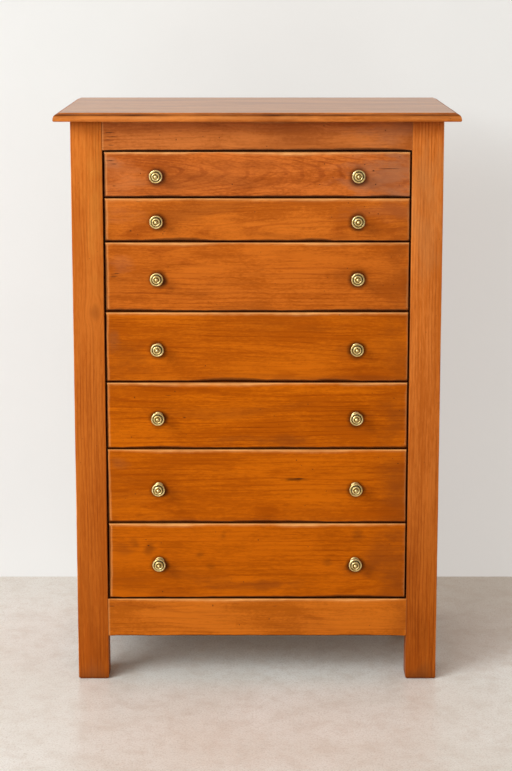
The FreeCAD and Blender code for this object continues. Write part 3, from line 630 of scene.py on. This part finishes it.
def wander(turns, counts, seed):
    """A smooth random line round a closed loop, about -1 to 1: sines that fit counts times into the loop."""
    counts = np.asarray(counts, float)
    phase = np.random.default_rng(seed).uniform(0, 2 * np.pi, len(counts))
    weight = 1 / np.sqrt(counts)
    waves = weight * np.sin(2 * np.pi * np.asarray(turns)[..., None] * counts + phase)
    return waves.sum(-1) / weight.sum() * 1.5


def spanned(ring, columns, rows):
    """Fills a closed loop of 2*(columns+rows) points, taken corner by corner, with a grid.

    Each inner point blends the two edges above and below it and the two beside it, less the corners
    counted twice (a Coons patch).
    """
    low = ring[:columns + 1]
    right = ring[columns:columns + rows + 1]
    high = ring[columns + rows:2 * columns + rows + 1][::-1]
    left = np.concatenate([ring[2 * columns + rows:], ring[:1]])[::-1]
    u = np.linspace(0, 1, columns + 1)[None, :, None]
    v = np.linspace(0, 1, rows + 1)[:, None, None]
    ruled = (1 - v) * low[None] + v * high[None] + (1 - u) * left[:, None] + u * right[:, None]
    corners = (1 - v) * ((1 - u) * low[0] + u * low[-1]) + v * ((1 - u) * high[0] + u * high[-1])
    return ruled - corners


def loop_shares(columns, rows):
    """Goes once round a unit square: the shares u and v of each point, and how far round it is."""
    ends = [np.linspace(0, 1, columns + 1)[:-1], np.linspace(0, 1, rows + 1)[:-1]]
    u = np.concatenate([ends[0], np.ones(rows), 1 - ends[0], np.zeros(rows)])
    v = np.concatenate([np.zeros(columns), ends[1], np.ones(columns), 1 - ends[1]])
    return u, v, np.arange(2 * (columns + rows)) / (2 * (columns + rows))


print("a loop round 3 by 2 cells has", len(loop_shares(3, 2)[0]), "points")

# %% [markdown]
# ## Boards with hand-eased edges
# The drawer fronts, the frieze and the bottom rail all show the same handwork: the face is flat, and its
# edges were rounded over with a plane and a rag, deeper here, sharper there. A bevel modifier would
# round them evenly, so the edge is worked out instead: a quarter round whose radius wanders as it goes
# round the board. Where the radius is large the light catches a wide pale band along the upper edge, and
# the lower edge dips into shadow. Over that, the upper edges are painted pale as a highlight and the
# edges into the gaps are painted dark as shade.

# %% A board seen from the front
SPACING, ROUNDS = 0.0042, 8  # metres between the points of a face, rings in a rounded edge
SHARPEST, ROUNDEST = 0.0005, 0.007  # the smallest and the largest radius
LEAN = 1.35  # how much wider an eased edge is than deep


def eased_face(x, z, y_face, y_behind, ease, seed, dips, end_ease=1.0):
    """The face and edges of a board as patches.

    Ring k stands at an angle a between 0 and 90 degrees: it lies LEAN r (1 - sin a) inside the outline
    and r (1 - cos a) behind the face, where r is the radius at that place of the loop.
    dips are two lists, for the top and the bottom edge, of where it was rubbed deeper: x, half width and
    extra radius. end_ease is the share of the radius that is left at the two ends.
    """
    columns, rows = round((x[1] - x[0]) / SPACING), round((z[1] - z[0]) / SPACING)
    u, v, turns = loop_shares(columns, rows)
    top, bottom, left = v > 0.999, v < 0.001, u < 0.001
    radius = ease * (1 + 0.5 * wander(turns, (2, 3, 5, 8, 12), seed))
    radius = radius + 0.12 * ease * wander(turns, (29, 47, 71), seed + 50)
    across = mixed(x[0], x[1], u)
    for edge, edge_dips in zip((top, bottom), dips):
        for place, half, extra in edge_dips:
            radius = radius + edge * extra * bell(across, place, half, 4)
    corner = np.minimum(across - x[0], x[1] - across) / 0.02
    radius = radius * np.clip(mixed(end_ease, 1.0, corner), end_ease, 1.0)
    radius = np.clip(radius, SHARPEST, ROUNDEST)
    angle = np.linspace(0, np.pi / 2, ROUNDS)[:, None]
    inset, depth = LEAN * radius * (1 - np.sin(angle)), radius * (1 - np.cos(angle))

    # The top edge is palest, rubbed by hands and painted with a highlight of the light from above; the edges
    # into the gaps are darkened with dirt and painted shade, most of all below and on the left, where the
    # light doesn't reach.
    share = np.select([top, bottom], [1.0, 0.1], 0.35)
    rub_and_highlight = share * (0.8 + 0.2 * wander(turns, (5, 13, 29, 47), seed + 9))
    wear_and_highlight = np.clip(rub_and_highlight * np.sin(2 * angle) ** 0.6, 0, 1)
    wear_and_highlight[0] = np.where(left, 0.35, 0.2 * np.clip(rub_and_highlight, 0, 1))
    shade = np.select([top, bottom, left], [0.6, 1.0, 1.0], 0.5)
    gather = np.select([top, bottom, left], [1.5, 0.35, 0.45], 1.5)
    dirt_and_shade = shade * np.linspace(0, 1, ROUNDS)[:, None] ** gather

    def ring(inset, y):
        return joined(mixed(x[0] + inset, x[1] - inset, u), y, mixed(z[0] + inset, z[1] - inset, v))

    rounded = ring(inset, y_face + depth)
    straight = np.maximum(y_face + 0.006, y_face + radius + 0.001)
    walls = np.stack([rounded[-1], ring(0, straight), ring(0, y_behind)])
    # The walls inside the gaps are darkened, dirt and painted shade.
    wall_dirt_and_shade = np.array([0.35, 0.9, 0.95])[:, None]
    face = spanned(rounded[0], columns, rows)
    # The face's top row and left column are pale, wear and a painted highlight.
    face_wear_and_highlight = np.zeros(face.shape[:2])
    face_wear_and_highlight[-1], face_wear_and_highlight[:, 0] = 0.2, 0.35
    return [
        patch(face, face_wear_and_highlight),
        patch(rounded, wear_and_highlight, dirt_and_shade, closed=True),
        patch(walls, 0.0, wall_dirt_and_shade, closed=True),
        patch(spanned(walls[-1], columns, rows)[::rows, ::columns]),
    ]


def box_patches(low, high):
    """The six sides of a plain block, for the parts of a piece that nobody sees."""
    low, high = np.array(low), np.array(high)
    unit = np.array([[[0, 0], [0, 1]], [[1, 0], [1, 1]]], float)
    patches = []
    for axis in range(3):
        for end in (0.0, 1.0):
            share = np.insert(unit, axis, end, axis=-1)
            patches.append(patch(mixed(low, high, share)))
    return patches


print("a block has", len(box_patches((0, 0, 0), (1, 1, 1))), "sides")

# %% [markdown]
# ## Drawer fronts
# Each front is lapped over the drawer's sides: the sides' dovetails stop short of the face, and between
# them stand the front's pins. When a drawer is open these joints show, so behind the eased face the
# piece has a core between the two sides and, at each end, the pins that fit between the tails of the
# solid model.

# %% Pins between the tails
TAIL_SHARE, TAIL_SLOPE = 0.68, 6


def pin_patches(side, tails, z_front, z_side, y_tip, y_root, thickness, x_drawer):
    """The pins at one end of a front: prisms whose section fills what the tails leave between them.

    Tail n is centred (n + 0.5) pitches up the side, TAIL_SHARE of a pitch wide at its tip and narrower
    towards its root, on each side by one in TAIL_SLOPE.
    """
    pitch = (z_side[1] - z_side[0]) / tails
    centres = z_side[0] + (np.arange(tails) + 0.5) * pitch
    wide = TAIL_SHARE / 2 * pitch
    half = np.array([wide, wide - (y_root - y_tip) / TAIL_SLOPE])
    low = np.concatenate([np.full((1, 2), z_front[0]), centres[:, None] + half])
    high = np.concatenate([centres[:, None] - half, np.full((1, 2), z_front[1])])
    x = side * np.array([x_drawer - thickness, x_drawer])
    y = np.array([y_tip, y_root, y_root, y_tip])
    patches = []
    for z_low, z_high in zip(low, high):
        run = joined(x[:, None], y, np.concatenate([z_low, z_high[::-1]]))
        patches.append(patch(run, closed=True))
        for end in run:
            patches.append(patch(np.stack([end[[0, 1]], end[[3, 2]]])))
    return patches


print("tails slope by one in", TAIL_SLOPE)

# %% The fronts' wood
DAYS = range(1, 8)
# The columns of FRONT_WOOD, one row for each day.
FRONT_LOOKS = ("pale", "deep", "tilt", "heart", "cloudy", "ring", "figure", "fleck", "holes", "amber")
FRONT_WOOD = {
    1: ((206, 108, 38), (168, 80, 18), (-6.0, 0.5), (0.0, 0.05), 0.5, 0.0045, 0.6, 15, 0.8, ROSY),
    2: ((203, 106, 28), (174, 84, 15), (2.5, 0.6), (0.03, 0.06), 0.5, 0.006, 0.5, 15, 0.8, GOLDEN),
    3: ((199, 102, 25), (169, 80, 12), (1.5, -1.0), (-0.05, 0.06), 0.4, 0.008, 0.5, 11, 0.4, GOLDEN),
    4: ((196, 98, 11), (169, 78, 6), (-2.0, 0.6), (0.06, 0.07), 0.4, 0.008, 0.45, 10, 0.8, AMBER),
    5: ((199, 99, 6), (171, 79, 3), (1.2, -1.2), (-0.07, 0.05), 0.4, 0.009, 0.6, 10, 0.8, AMBER),
    6: ((196, 97, 6), (168, 77, 3), (1.2, 0.5), (0.05, 0.08), 0.35, 0.009, 0.45, 9, 0.8, AMBER),
    7: ((194, 95, 6), (168, 78, 3), (1.8, 0.8), (0.08, 0.06), 0.35, 0.009, 0.45, 9, 0.8, AMBER),
}
print("wood for", len(FRONT_WOOD), "fronts")

# %% Marks, holes and dips of the fronts
def hole(x, z, radius=0.0014):
    """A worm hole among the nicks of a board."""
    return x, z, radius, radius


# Marks are (x, z, half width, half height, strength, colour): the colour is mostly a stain, PAINTED_SHEEN a
# painted sheen; nicks the same without the last two.
FRONT_MARKS = {
    1: [(-0.02, 1.128, 0.10, 0.022, 0.35, UMBER), (0.28, 1.10, 0.10, 0.07, 0.65, PAINTED_SHEEN),
        (-0.28, 1.10, 0.06, 0.045, 0.4, (206, 122, 66)), (-0.31, 1.135, 0.03, 0.012, 0.4, PAINTED_SHEEN)],
    2: [(-0.28, 1.03, 0.06, 0.03, 0.3, (204, 118, 62)), (0.28, 1.03, 0.09, 0.03, 0.45, (160, 86, 46))],
    3: [(0.19, 0.89, 0.035, 0.03, 0.35, UMBER), (-0.29, 0.915, 0.03, 0.03, 0.2, PAINTED_SHEEN),
        (-0.302, 0.896, 0.014, 0.006, 0.7, UMBER)],
    4: [(-0.28, 0.72, 0.06, 0.05, 0.45, UMBER), (0.20, 0.735, 0.03, 0.02, 0.4, UMBER),
        (0.30, 0.73, 0.04, 0.05, 0.3, UMBER), (-0.305, 0.76, 0.014, 0.03, 0.4, (140, 78, 40))],
    5: [(0.04, 0.535, 0.13, 0.014, 0.6, UMBER), (0.22, 0.585, 0.05, 0.02, 0.35, UMBER),
        (0.30, 0.58, 0.04, 0.06, 0.5, UMBER)],
    6: [(-0.30, 0.49, 0.024, 0.015, 0.35, (132, 74, 38)), (0.08, 0.45, 0.035, 0.004, 0.7, SOOT_AND_SHADOW),
        (0.21, 0.43, 0.05, 0.02, 0.35, UMBER), (0.30, 0.43, 0.04, 0.07, 0.55, UMBER)],
    7: [(-0.233, 0.302, 0.014, 0.017, 0.6, BURR), (-0.264, 0.309, 0.016, 0.014, 0.5, BURR),
        (-0.285, 0.298, 0.020, 0.015, 0.45, UMBER), (-0.124, 0.284, 0.015, 0.013, 0.55, BURR),
        (-0.100, 0.252, 0.012, 0.014, 0.35, BURR), (-0.0725, 0.324, 0.009, 0.010, 0.45, BURR),
        (0.215, 0.329, 0.015, 0.014, 0.5, BURR), (0.152, 0.266, 0.010, 0.012, 0.4, BURR),
        (-0.02, 0.212, 0.12, 0.016, 0.65, UMBER), (0.24, 0.25, 0.06, 0.03, 0.5, UMBER),
        (0.29, 0.27, 0.06, 0.08, 0.5, UMBER)],
}
FRONT_NICKS = {
    1: [hole(-0.244, 1.111, 0.0016), (-0.308, 1.138, 0.012, 0.0009), (-0.300, 1.131, 0.010, 0.0008),
        (0.275, 1.121, 0.030, 0.0008), (0.243, 1.117, 0.0030, 0.0018), hole(0.225, 1.130),
        (0.131, 1.088, 0.0022, 0.0012), (0.248, 1.088, 0.0016, 0.0018), hole(0.298, 1.146), hole(0.20, 1.148),
        (-0.30, 1.085, 0.004, 0.0007)],
    2: [(-0.266, 0.990, 0.0026, 0.0016), hole(0.235, 1.028, 0.0016), hole(0.225, 1.041, 0.0012),
        hole(0.191, 1.049), (0.254, 1.026, 0.0016, 0.0014), (-0.005, 1.030, 0.0016, 0.0010)],
    3: [hole(0.19, 0.91), (-0.302, 0.892, 0.012, 0.0008), (-0.296, 0.899, 0.008, 0.0007)],
    4: [hole(-0.11, 0.70)],
    5: [(-0.155, 0.587, 0.004, 0.001)],
    6: [(0.09, 0.452, 0.012, 0.0012), hole(-0.262, 0.418, 0.0012)],
    7: [(-0.235, 0.303, 0.003, 0.0016), hole(0.11, 0.30)],
}
FRONT_DIPS = {
    1: ([(-0.20, 0.05, 0.001), (0.10, 0.06, 0.0012)], [(0.27, 0.035, 0.0022)]),
    2: ([(0.02, 0.12, 0.001)], [(-0.17, 0.05, 0.0028), (0.125, 0.03, 0.0026)]),
    3: ([(-0.19, 0.08, 0.0015), (0.16, 0.05, 0.001)], [(0.20, 0.05, 0.0012)]),
    4: ([(0.03, 0.10, 0.0012)], [(-0.055, 0.06, 0.003), (0.165, 0.035, 0.0026)]),
    5: ([(0.24, 0.06, 0.0022), (-0.08, 0.10, 0.0014)], [(-0.22, 0.05, 0.0012)]),
    6: ([(-0.18, 0.06, 0.0016), (0.12, 0.08, 0.001)], [(0.05, 0.08, 0.0012)]),
    7: ([(0.10, 0.06, 0.0024), (-0.20, 0.08, 0.0014)], [(0.22, 0.06, 0.0014)]),
}
print("marks", sum(map(len, FRONT_MARKS.values())), "nicks", sum(map(len, FRONT_NICKS.values())))

# %% The seven fronts
TAILS = {1: 3, 2: 3, 3: 4, 4: 4, 5: 4, 6: 5, 7: 5}
LAP = 0.008  # how thick a front is over the ends of its drawer's sides
FRONT_EASE, FRONT_ENDS = 0.0026, 0.22  # radius of the edges; where the stained ends begin
KNOB_RADIUS = 0.015  # of the solid model's knobs


def knob_place(low, high):
    """How far out and how high two knobs stand, from the box round both."""
    return (high.x - low.x) / 2 - KNOB_RADIUS, (low.z + high.z) / 2


for day in DAYS:
    low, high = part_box(f"drawer_{day}_front")
    side_low, side_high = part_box(f"drawer_{day}_left_side")
    x_in, y_lap = -side_high.x, low.y + LAP
    wood = waxed_wood(f"front_wood_{day}", CROSSWISE, seed=day, middle=(0, low.y, (low.z + high.z) / 2),
                      ends=FRONT_ENDS, marks=FRONT_MARKS[day], nicks=FRONT_NICKS[day],
                      knobs=knob_place(*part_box(f"drawer_{day}_knobs")),
                      **dict(zip(FRONT_LOOKS, FRONT_WOOD[day])))
    patches = eased_face((low.x, high.x), (low.z, high.z), low.y, y_lap, FRONT_EASE, 100 + day,
                         FRONT_DIPS[day])
    patches += box_patches((-x_in, y_lap - 0.001, low.z), (x_in, high.y, high.z))
    for side in (-1, 1):
        patches += pin_patches(side, TAILS[day], (low.z, high.z), (side_low.z, side_high.z), y_lap, high.y,
                               high.x - x_in, high.x)
    make_piece(f"eased_front_{day}", patches, [wood], f"drawer_{day}", [f"drawer_{day}_front"])

# %% [markdown]
# ## Frieze and bottom rail
# These two boards are tenoned into the posts. They have the same eased long edges, but their ends run
# square into the posts, so the radius shrinks to almost nothing there.

# %% Frieze and bottom rail
# Under the top a painted shadow falls on the frieze and the posts, from UNDER_TOP down.
UNDER_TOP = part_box("frieze_rail")[1].z
RAILS = {
    # The frieze's PAINTED_SHEEN mark is a painted sheen at its right end.
    "frieze_rail": dict(
        pale=(198, 111, 48), deep=(173, 91, 32), tilt=(1.5, 0.5), heart=(0.06, 0.05), ring=0.005,
        seed=21, figure=0.35, amber=ROSY, shelf=UNDER_TOP, marks=[(0.28, 1.20, 0.10, 0.03, 0.4, PAINTED_SHEEN)],
        nicks=[(-0.308, 1.197, 0.012, 0.0009), (-0.302, 1.188, 0.015, 0.0009), hole(0.139, 1.211),
               (-0.311, 1.1815, 0.008, 0.0008), (-0.305, 1.1705, 0.009, 0.0008), hole(0.267, 1.2015),
               (-0.169, 1.182, 0.0014, 0.0020), (0.02, 1.168, 0.0014, 0.0012)]),
    "bottom_rail": dict(
        pale=(200, 105, 23), deep=(173, 86, 11), tilt=(1.2, -0.6), heart=(-0.04, 0.06), cloudy=0.4,
        seed=22, figure=0.35, amber=GOLDEN),
}
RAIL_DIPS = {
    "frieze_rail": ([], [(0.24, 0.07, 0.0028), (-0.05, 0.08, 0.001)]),
    "bottom_rail": ([(-0.15, 0.10, 0.0016), (0.22, 0.05, 0.0018)], []),
}
RAIL_EASE, RAIL_ENDS, RAIL_DEPTH = 0.0022, 0.26, 0.022
post_low, post_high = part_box("front_left_post")
x_opening = -post_high.x
for rail, look in RAILS.items():
    low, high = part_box(rail)
    wood = waxed_wood(f"{rail}_wood", CROSSWISE, middle=(0, post_low.y, (low.z + high.z) / 2),
                      ends=RAIL_ENDS, **look)
    patches = eased_face((-x_opening, x_opening), (low.z, high.z), post_low.y, post_low.y + RAIL_DEPTH,
                         RAIL_EASE, 100 + look["seed"], RAIL_DIPS[rail], end_ease=0.12)
    make_piece(f"eased_{rail}", patches, [wood], "carcass", [rail])

# %% [markdown]
# ## Posts
# A post is a square stick with its four long corners rubbed round and its foot eased so that it doesn't
# split when the chest is dragged. It is a section carried up a straight line: at every height the
# section is a rectangle with four quarter-round corners, and each corner's radius wanders with height.

# %% A post with rounded corners
POST_LEVELS, POST_EASE = 110, 0.0018  # rings up a post, radius of its corners
FOOT_EASE, FOOT_HEIGHT = 0.0022, 0.0024  # how far a foot is drawn in, and from what height


def post_patches(low, high, seed, inner):
    """A post as rings of points up its height; each ring is four quarter rounds joined by flats.

    inner is the corner against the drawers: 2 is the front left one, 3 the front right.
    """
    share = np.concatenate([[0, 0.0008, 0.0018, 0.003], np.linspace(0.005, 1, POST_LEVELS)])
    z = mixed(low[2], high[2], share)
    foot = FOOT_EASE * np.sqrt(np.clip(1 - (z - low[2]) / FOOT_HEIGHT, 0, 1))
    quarter = np.linspace(0, np.pi / 2, 6)
    columns, shine = [], []
    for corner, (right, back) in enumerate([(1, 1), (0, 1), (0, 0), (1, 0)]):
        radius = POST_EASE * (1 + 0.55 * wander(share * 0.5, (5, 11, 19, 33, 57), seed + corner))
        radius = np.clip(radius + foot * 0.6, 0.0007, 0.006)[:, None]
        turn = corner * np.pi / 2 + quarter[None]
        inset = radius + foot[:, None]
        middle_x = mixed(low[0] + inset, high[0] - inset, right)
        middle_y = mixed(low[1] + inset, high[1] - inset, back)
        columns.append(joined(middle_x + radius * np.cos(turn), middle_y + radius * np.sin(turn), z[:, None]))
        # Hands rub the corners, but hardly the inner one; the pale rub is wear and also a painted highlight.
        rub = 0.28 + 0.3 * wander(share * 0.5, (7, 15, 31, 63), seed + 20 + corner)[:, None]
        rub = rub * (0.15 if corner == inner else 1.0)
        shine.append(np.clip(rub, 0, 1) * np.sin(2 * quarter) ** 0.7)
    rings = np.concatenate(columns, axis=1)
    wear_and_highlight = np.concatenate(shine, axis=1)
    dirt = np.exp(-(z - low[2]) / 0.006)[:, None] * 0.6
    patches = [patch(rings, wear_and_highlight, dirt, closed=True)]
    for ring, dark in ((rings[0], 0.8), (rings[-1], 0.0)):
        half = len(ring) // 2
        patches.append(patch(np.stack([ring[:half], ring[half:][::-1]]), 0.0, dark))
    return patches


print("a post has", POST_LEVELS, "rings above its foot")

# %% The four posts
POST_X = 0.357  # the middle of a post
ALL_POSTS = dict(fleck=5, cloudy=0.3, holes=0.35, ring=0.006, shelf=UNDER_TOP, amber=GOLDEN)
# The pale marks high on the posts make their tops lighter, partly painted light from above and partly stain;
# foot is painted shade towards the bottom.
POST_WOOD = {
    "left": dict(pale=(210, 117, 43), deep=(190, 98, 28), foot=(0.85, 1.5), tilt=(0.5, 0.4),
                 middle=(-POST_X, post_low.y, 0.6), heart=(0.10, 0.06), seed=31, figure=0.55,
                 marks=[(-0.342, 1.03, 0.030, 0.19, 0.4, (212, 132, 54)),
                        (-POST_X, 0.010, 0.045, 0.028, 0.6, (168, 98, 62))],
                 knots=[(-0.344, 0.815, 0.009, 0.014)]),
    "right": dict(pale=(212, 120, 50), deep=(187, 97, 30), foot=(1.0, 0.95), tilt=(0.4, -0.3),
                  middle=(POST_X, post_low.y, 0.6), heart=(-0.10, 0.06), seed=35, figure=0.7,
                  marks=[(POST_X, 1.06, 0.045, 0.17, 0.35, (190, 124, 70)),
                         (POST_X, 0.010, 0.045, 0.030, 0.6, (150, 88, 56))]),
}
for side, look in POST_WOOD.items():
    wood = waxed_wood(f"{side}_post_wood", UPRIGHT, **look, **ALL_POSTS)
    for end in ("front", "rear"):
        low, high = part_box(f"{end}_{side}_post")
        seed = look["seed"] * 10 + (5 if end == "rear" else 0)
        patches = post_patches(low, high, seed, inner=3 if side == "left" else 2)
        make_piece(f"eased_{end}_{side}_post", patches, [wood], "carcass",
                   [f"{end}_{side}_post"])

# %% [markdown]
# ## The top board
# The top overhangs on the front and both ends, where its edge is moulded: a fine quirk just under the
# arris, a quarter round, and a small rounded nose below. The hollow under the quirk is painted dark, a
# painted shade, and the rubbed quarter round is painted paler, wear and a painted highlight. The back
# edge is square. The moulding is one section carried round the board: ring k lies as far inside the
# outline, and as far below the face, as the section's point k. Along the back the rings keep to the
# outline.

# %% The moulding's section
def arc(middle, radius, start, end, steps):
    """Points on part of a circle, angles in degrees."""
    turn = np.radians(np.linspace(start, end, steps))
    return joined(middle[0] + radius * np.cos(turn), middle[1] + radius * np.sin(turn))


def top_section():
    """Points of the moulding from the face to the underside, as distance in from the outline and down."""
    arris = [(0.0130, 0.0), (0.0122, 0.00008), (0.0117, 0.0004), (0.0115, 0.0011), (0.0113, 0.0018),
             (0.0108, 0.0021), (0.0102, 0.0021)]
    ovolo, nose = arc((0.010, 0.012), 0.010, -90, -180, 12), arc((0.003, 0.015), 0.003, 180, 90, 6)
    return np.concatenate([arris, ovolo, nose, [(0.006, 0.018)]])


print("moulding", len(top_section()), "points")

# %% The top board
def top_patches(low, high, columns, rows):
    """The top's face, its moulded rings and its underside.

    Two slow waves go round the edge: where the first is high, hands have rubbed the quarter round in by
    up to 0.7 mm and it is painted paler, wear and a painted highlight; where the second is high, the
    arris is blunted by up to half a millimetre.
    """
    section = top_section()
    u, v, turns = loop_shares(columns, rows)
    rub = 0.5 + 0.5 * wander(turns, (4, 9, 15, 27, 44), 77)
    blunt = 0.5 + 0.5 * wander(turns, (3, 8, 19, 31), 78)
    inset, drop = section[:, :1], section[:, 1:]
    inset = inset + 0.0007 * bell(drop, 0.008, 0.006) * np.clip(rub, 0, 1)
    arris = bell(inset, 0.0115, 0.002) * (drop > 0) * (drop < 0.0155)
    sunk = drop + 0.0005 * arris * np.clip(blunt, 0, 1)
    x, y = mixed(low[0] + inset, high[0] - inset, u), mixed(low[1] + inset, high[1], v)
    rings = joined(x, y, high[2] - sunk)
    along_back = (v > 0.999) * 1.0
    # The moulding's ridges are painted pale, wear and painted highlight; the hollow under the quirk is
    # painted shade.
    ridge = bell(drop, 0.0095, 0.003) + 0.5 * bell(drop, 0.0003, 0.0005)
    wear_and_highlight = np.clip(ridge * (0.05 + 0.20 * rub), 0, 0.6) * (1 - 0.7 * along_back)
    painted_quirk_shade = np.clip(1.3 - np.abs(drop - 0.0044) / 0.0022, 0, 1) * (1 - along_back)
    dirt_and_shade = 0.85 * painted_quirk_shade * (0.75 + 0.25 * wander(turns, (7, 18, 37), 79))
    under = spanned(rings[-1], columns, rows)[::8, ::10]
    return [patch(spanned(rings[0], columns, rows)), patch(rings, wear_and_highlight, dirt_and_shade, closed=True, slot=1),
            patch(under, slot=1)]


low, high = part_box("top_board")
top_look = dict(seed=41, middle=(0, 0, 1.24), tilt=(0.8, 0.8), heart=(0.06, 0.05), ring=0.009, figure=0.3,
                fleck=8)
top_wood = waxed_wood("top_wood", FLAT, pale=(204, 132, 66), deep=(176, 110, 50), cloudy=0.0,
                      relief=0.0, gloss=(0.4, 0.4, 0.2), amber=(1, 1, 1, 1), **top_look)
moulding_wood = waxed_wood("moulding_wood", FLAT, pale=(208, 118, 48), deep=(172, 90, 28),
                           amber=(1, 0.9, 0.7, 1), **top_look)
make_piece("moulded_top", top_patches(low, high, columns=170, rows=96), [top_wood, moulding_wood],
           "carcass", ["top_board"])

# %% [markdown]
# ## Knobs
# The knobs were turned on a lathe, so each is a section spun round its axis: a collar against the
# drawer, a waisted neck, and a head that steps up from its rim over a rounded ring to a button. The
# grooves between the steps never meet the polishing rag, so they are marked grimy. Inside the drawer,
# the round head of the machine screw is turned the same way.

# %% Sections of a knob and a screw head
def knob_section(head, out, neck, collar, lift, ball):
    """Distance from the axis, distance out from the drawer, and grime, from the button down to the drawer.

    head, neck, collar and ball are radii, out is the knob's length and lift the collar's thickness.
    """
    parts = [
        (arc((0, out - ball), ball, 90, -5, 12), 0.0),
        ([[0.30 * head, 0.815 * out], [0.345 * head, 0.81 * out]], 0.8),
        (arc((0.50 * head, 0.855 * out), 0.125 * head, 190, -30, 14), 0.0),
        ([[0.66 * head, 0.775 * out], [0.70 * head, 0.768 * out], [0.75 * head, 0.77 * out]], 0.7),
        (arc((0.88 * head, 0.75 * out), 0.12 * head, 140, -80, 14), 0.0),
        ([[0.74 * head, 0.665 * out], [0.58 * head, 0.58 * out], [0.44 * head, 0.50 * out]], 0.25),
        ([[neck, 0.42 * out], [0.92 * neck, 0.24 * out], [1.05 * neck, 0.15 * out]], 0.5),
        ([[collar - lift * 1.4, lift * 1.2]], 0.7),
        (arc((collar - lift * 0.55, lift * 0.5), lift * 0.55, 90, -60, 9), 0.0),
        ([[collar - 0.3 * lift, 0.0], [0.0, 0.0]], 0.7),
    ]
    points = np.concatenate([part for part, _ in parts])
    dirt_and_shade = np.concatenate([np.full(len(part), dark) for part, dark in parts])
    return points, dirt_and_shade


def screw_head(radius, height, rim):
    """A round screw head: a low dome on an upright rim, and no grime."""
    turn = np.linspace(np.pi / 2, 0, 9)
    dome = joined(radius * np.cos(turn), rim + (height - rim) * np.sin(turn))
    section = np.concatenate([dome, [(radius, 0.0), (0.0, 0.0)]])
    return section, np.zeros(len(section))


section, dirt_and_shade = knob_section(head=0.0140, out=0.036, neck=0.005, collar=0.010, lift=0.0026, ball=0.0041)
dome, clean = screw_head(radius=0.004, height=0.0024, rim=0.0006)
print("knob", len(section), "points, screw head", len(dome), "points")

# %% Knobs and their screws
def turned_patch(section, dirt_and_shade, centre, direction=-1, around=72):
    """Spins a section (distance from the axis, distance out) round a line along Y through centre."""
    turn = np.linspace(0, 2 * np.pi, around + 1)[:-1]
    radius, out = section[:, :1], section[:, 1:]
    points = joined(centre[0] + radius * np.cos(turn), centre[1] + direction * out,
                    centre[2] + radius * np.sin(turn))
    return patch(points, 0.0, dirt_and_shade[:, None], closed=True)


brass, steel = aged_brass("aged_brass"), dull_steel("dull_steel")
for day in DAYS:
    reach, z = knob_place(*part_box(f"drawer_{day}_knobs"))
    front_low, front_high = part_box(f"drawer_{day}_front")
    knobs = [turned_patch(section, dirt_and_shade, (side * reach, front_low.y, z)) for side in (-1, 1)]
    make_piece(f"turned_knobs_{day}", knobs, [brass], f"drawer_{day}",
               [f"drawer_{day}_knobs"], crease=60)
    heads = [turned_patch(dome, clean, (side * reach, front_high.y, z), direction=1, around=32)
             for side in (-1, 1)]
    make_piece(f"knob_screws_{day}", heads, [steel], f"drawer_{day}")

# %% [markdown]
# ## The parts that keep their solid shape
# Side rails, panels, drawer boxes, runners and the back are already right as solids. They only need a
# finish whose grain runs the way the board was cut.

# %% Finishes on the solid parts
panel_low, panel_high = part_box("left_side_panel")
side_look = dict(pale=(196, 106, 46), deep=(168, 84, 30), cloudy=0.2, holes=0.4,
                 middle=(panel_low.x, 0, (panel_low.z + panel_high.z) / 2))
side_rail_wood = waxed_wood("side_rail_wood", FRONT_TO_BACK, seed=51, tilt=(1, 1), fleck=10, **side_look)
side_panel_wood = waxed_wood("side_panel_wood", SIDE_PANEL, seed=52, tilt=(2.5, 0.4), heart=(0.03, 0.05),
                             fleck=7, ring=0.006, figure=0.6, **side_look)
bare_across = bare_wood("bare_wood_across", CROSSWISE, 61)
divider_stain_and_shade = bare_wood("bare_wood_stain_and_shade_in_front", CROSSWISE, 65, stain_and_shade=True)
bare_deep = bare_wood("bare_wood_front_to_back", FRONT_TO_BACK, 62)
bare_flat = bare_wood("bare_wood_bottoms", FLAT, 63, (206, 172, 126), (180, 142, 96))
bare_upright = bare_wood("bare_wood_back", UPRIGHT, 64, (202, 156, 104), (170, 120, 72))
SOLID_FINISHES = {
    "upper_side_rails": side_rail_wood, "lower_side_rails": side_rail_wood,
    "left_side_panel": side_panel_wood, "right_side_panel": side_panel_wood,
    "rear_rails": bare_across, "back_panel": bare_upright, "divider_rails": divider_stain_and_shade,
    "drawer_runners": bare_deep, "drawer_guides": bare_deep, "top_fixing_blocks": bare_deep,
    "wood_screws": steel,
}
DRAWER_FINISHES = {"left_side": bare_deep, "right_side": bare_deep, "back": bare_across, "bottom": bare_flat}
for day in DAYS:
    SOLID_FINISHES |= {f"drawer_{day}_{part}": finish for part, finish in DRAWER_FINISHES.items()}
for node, material in SOLID_FINISHES.items():
    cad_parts[node].material_slots[0].material = material
hidden = [name for name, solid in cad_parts.items() if solid.hide_render]
print("finished", len(SOLID_FINISHES), "replaced", len(hidden), "of", len(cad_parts))
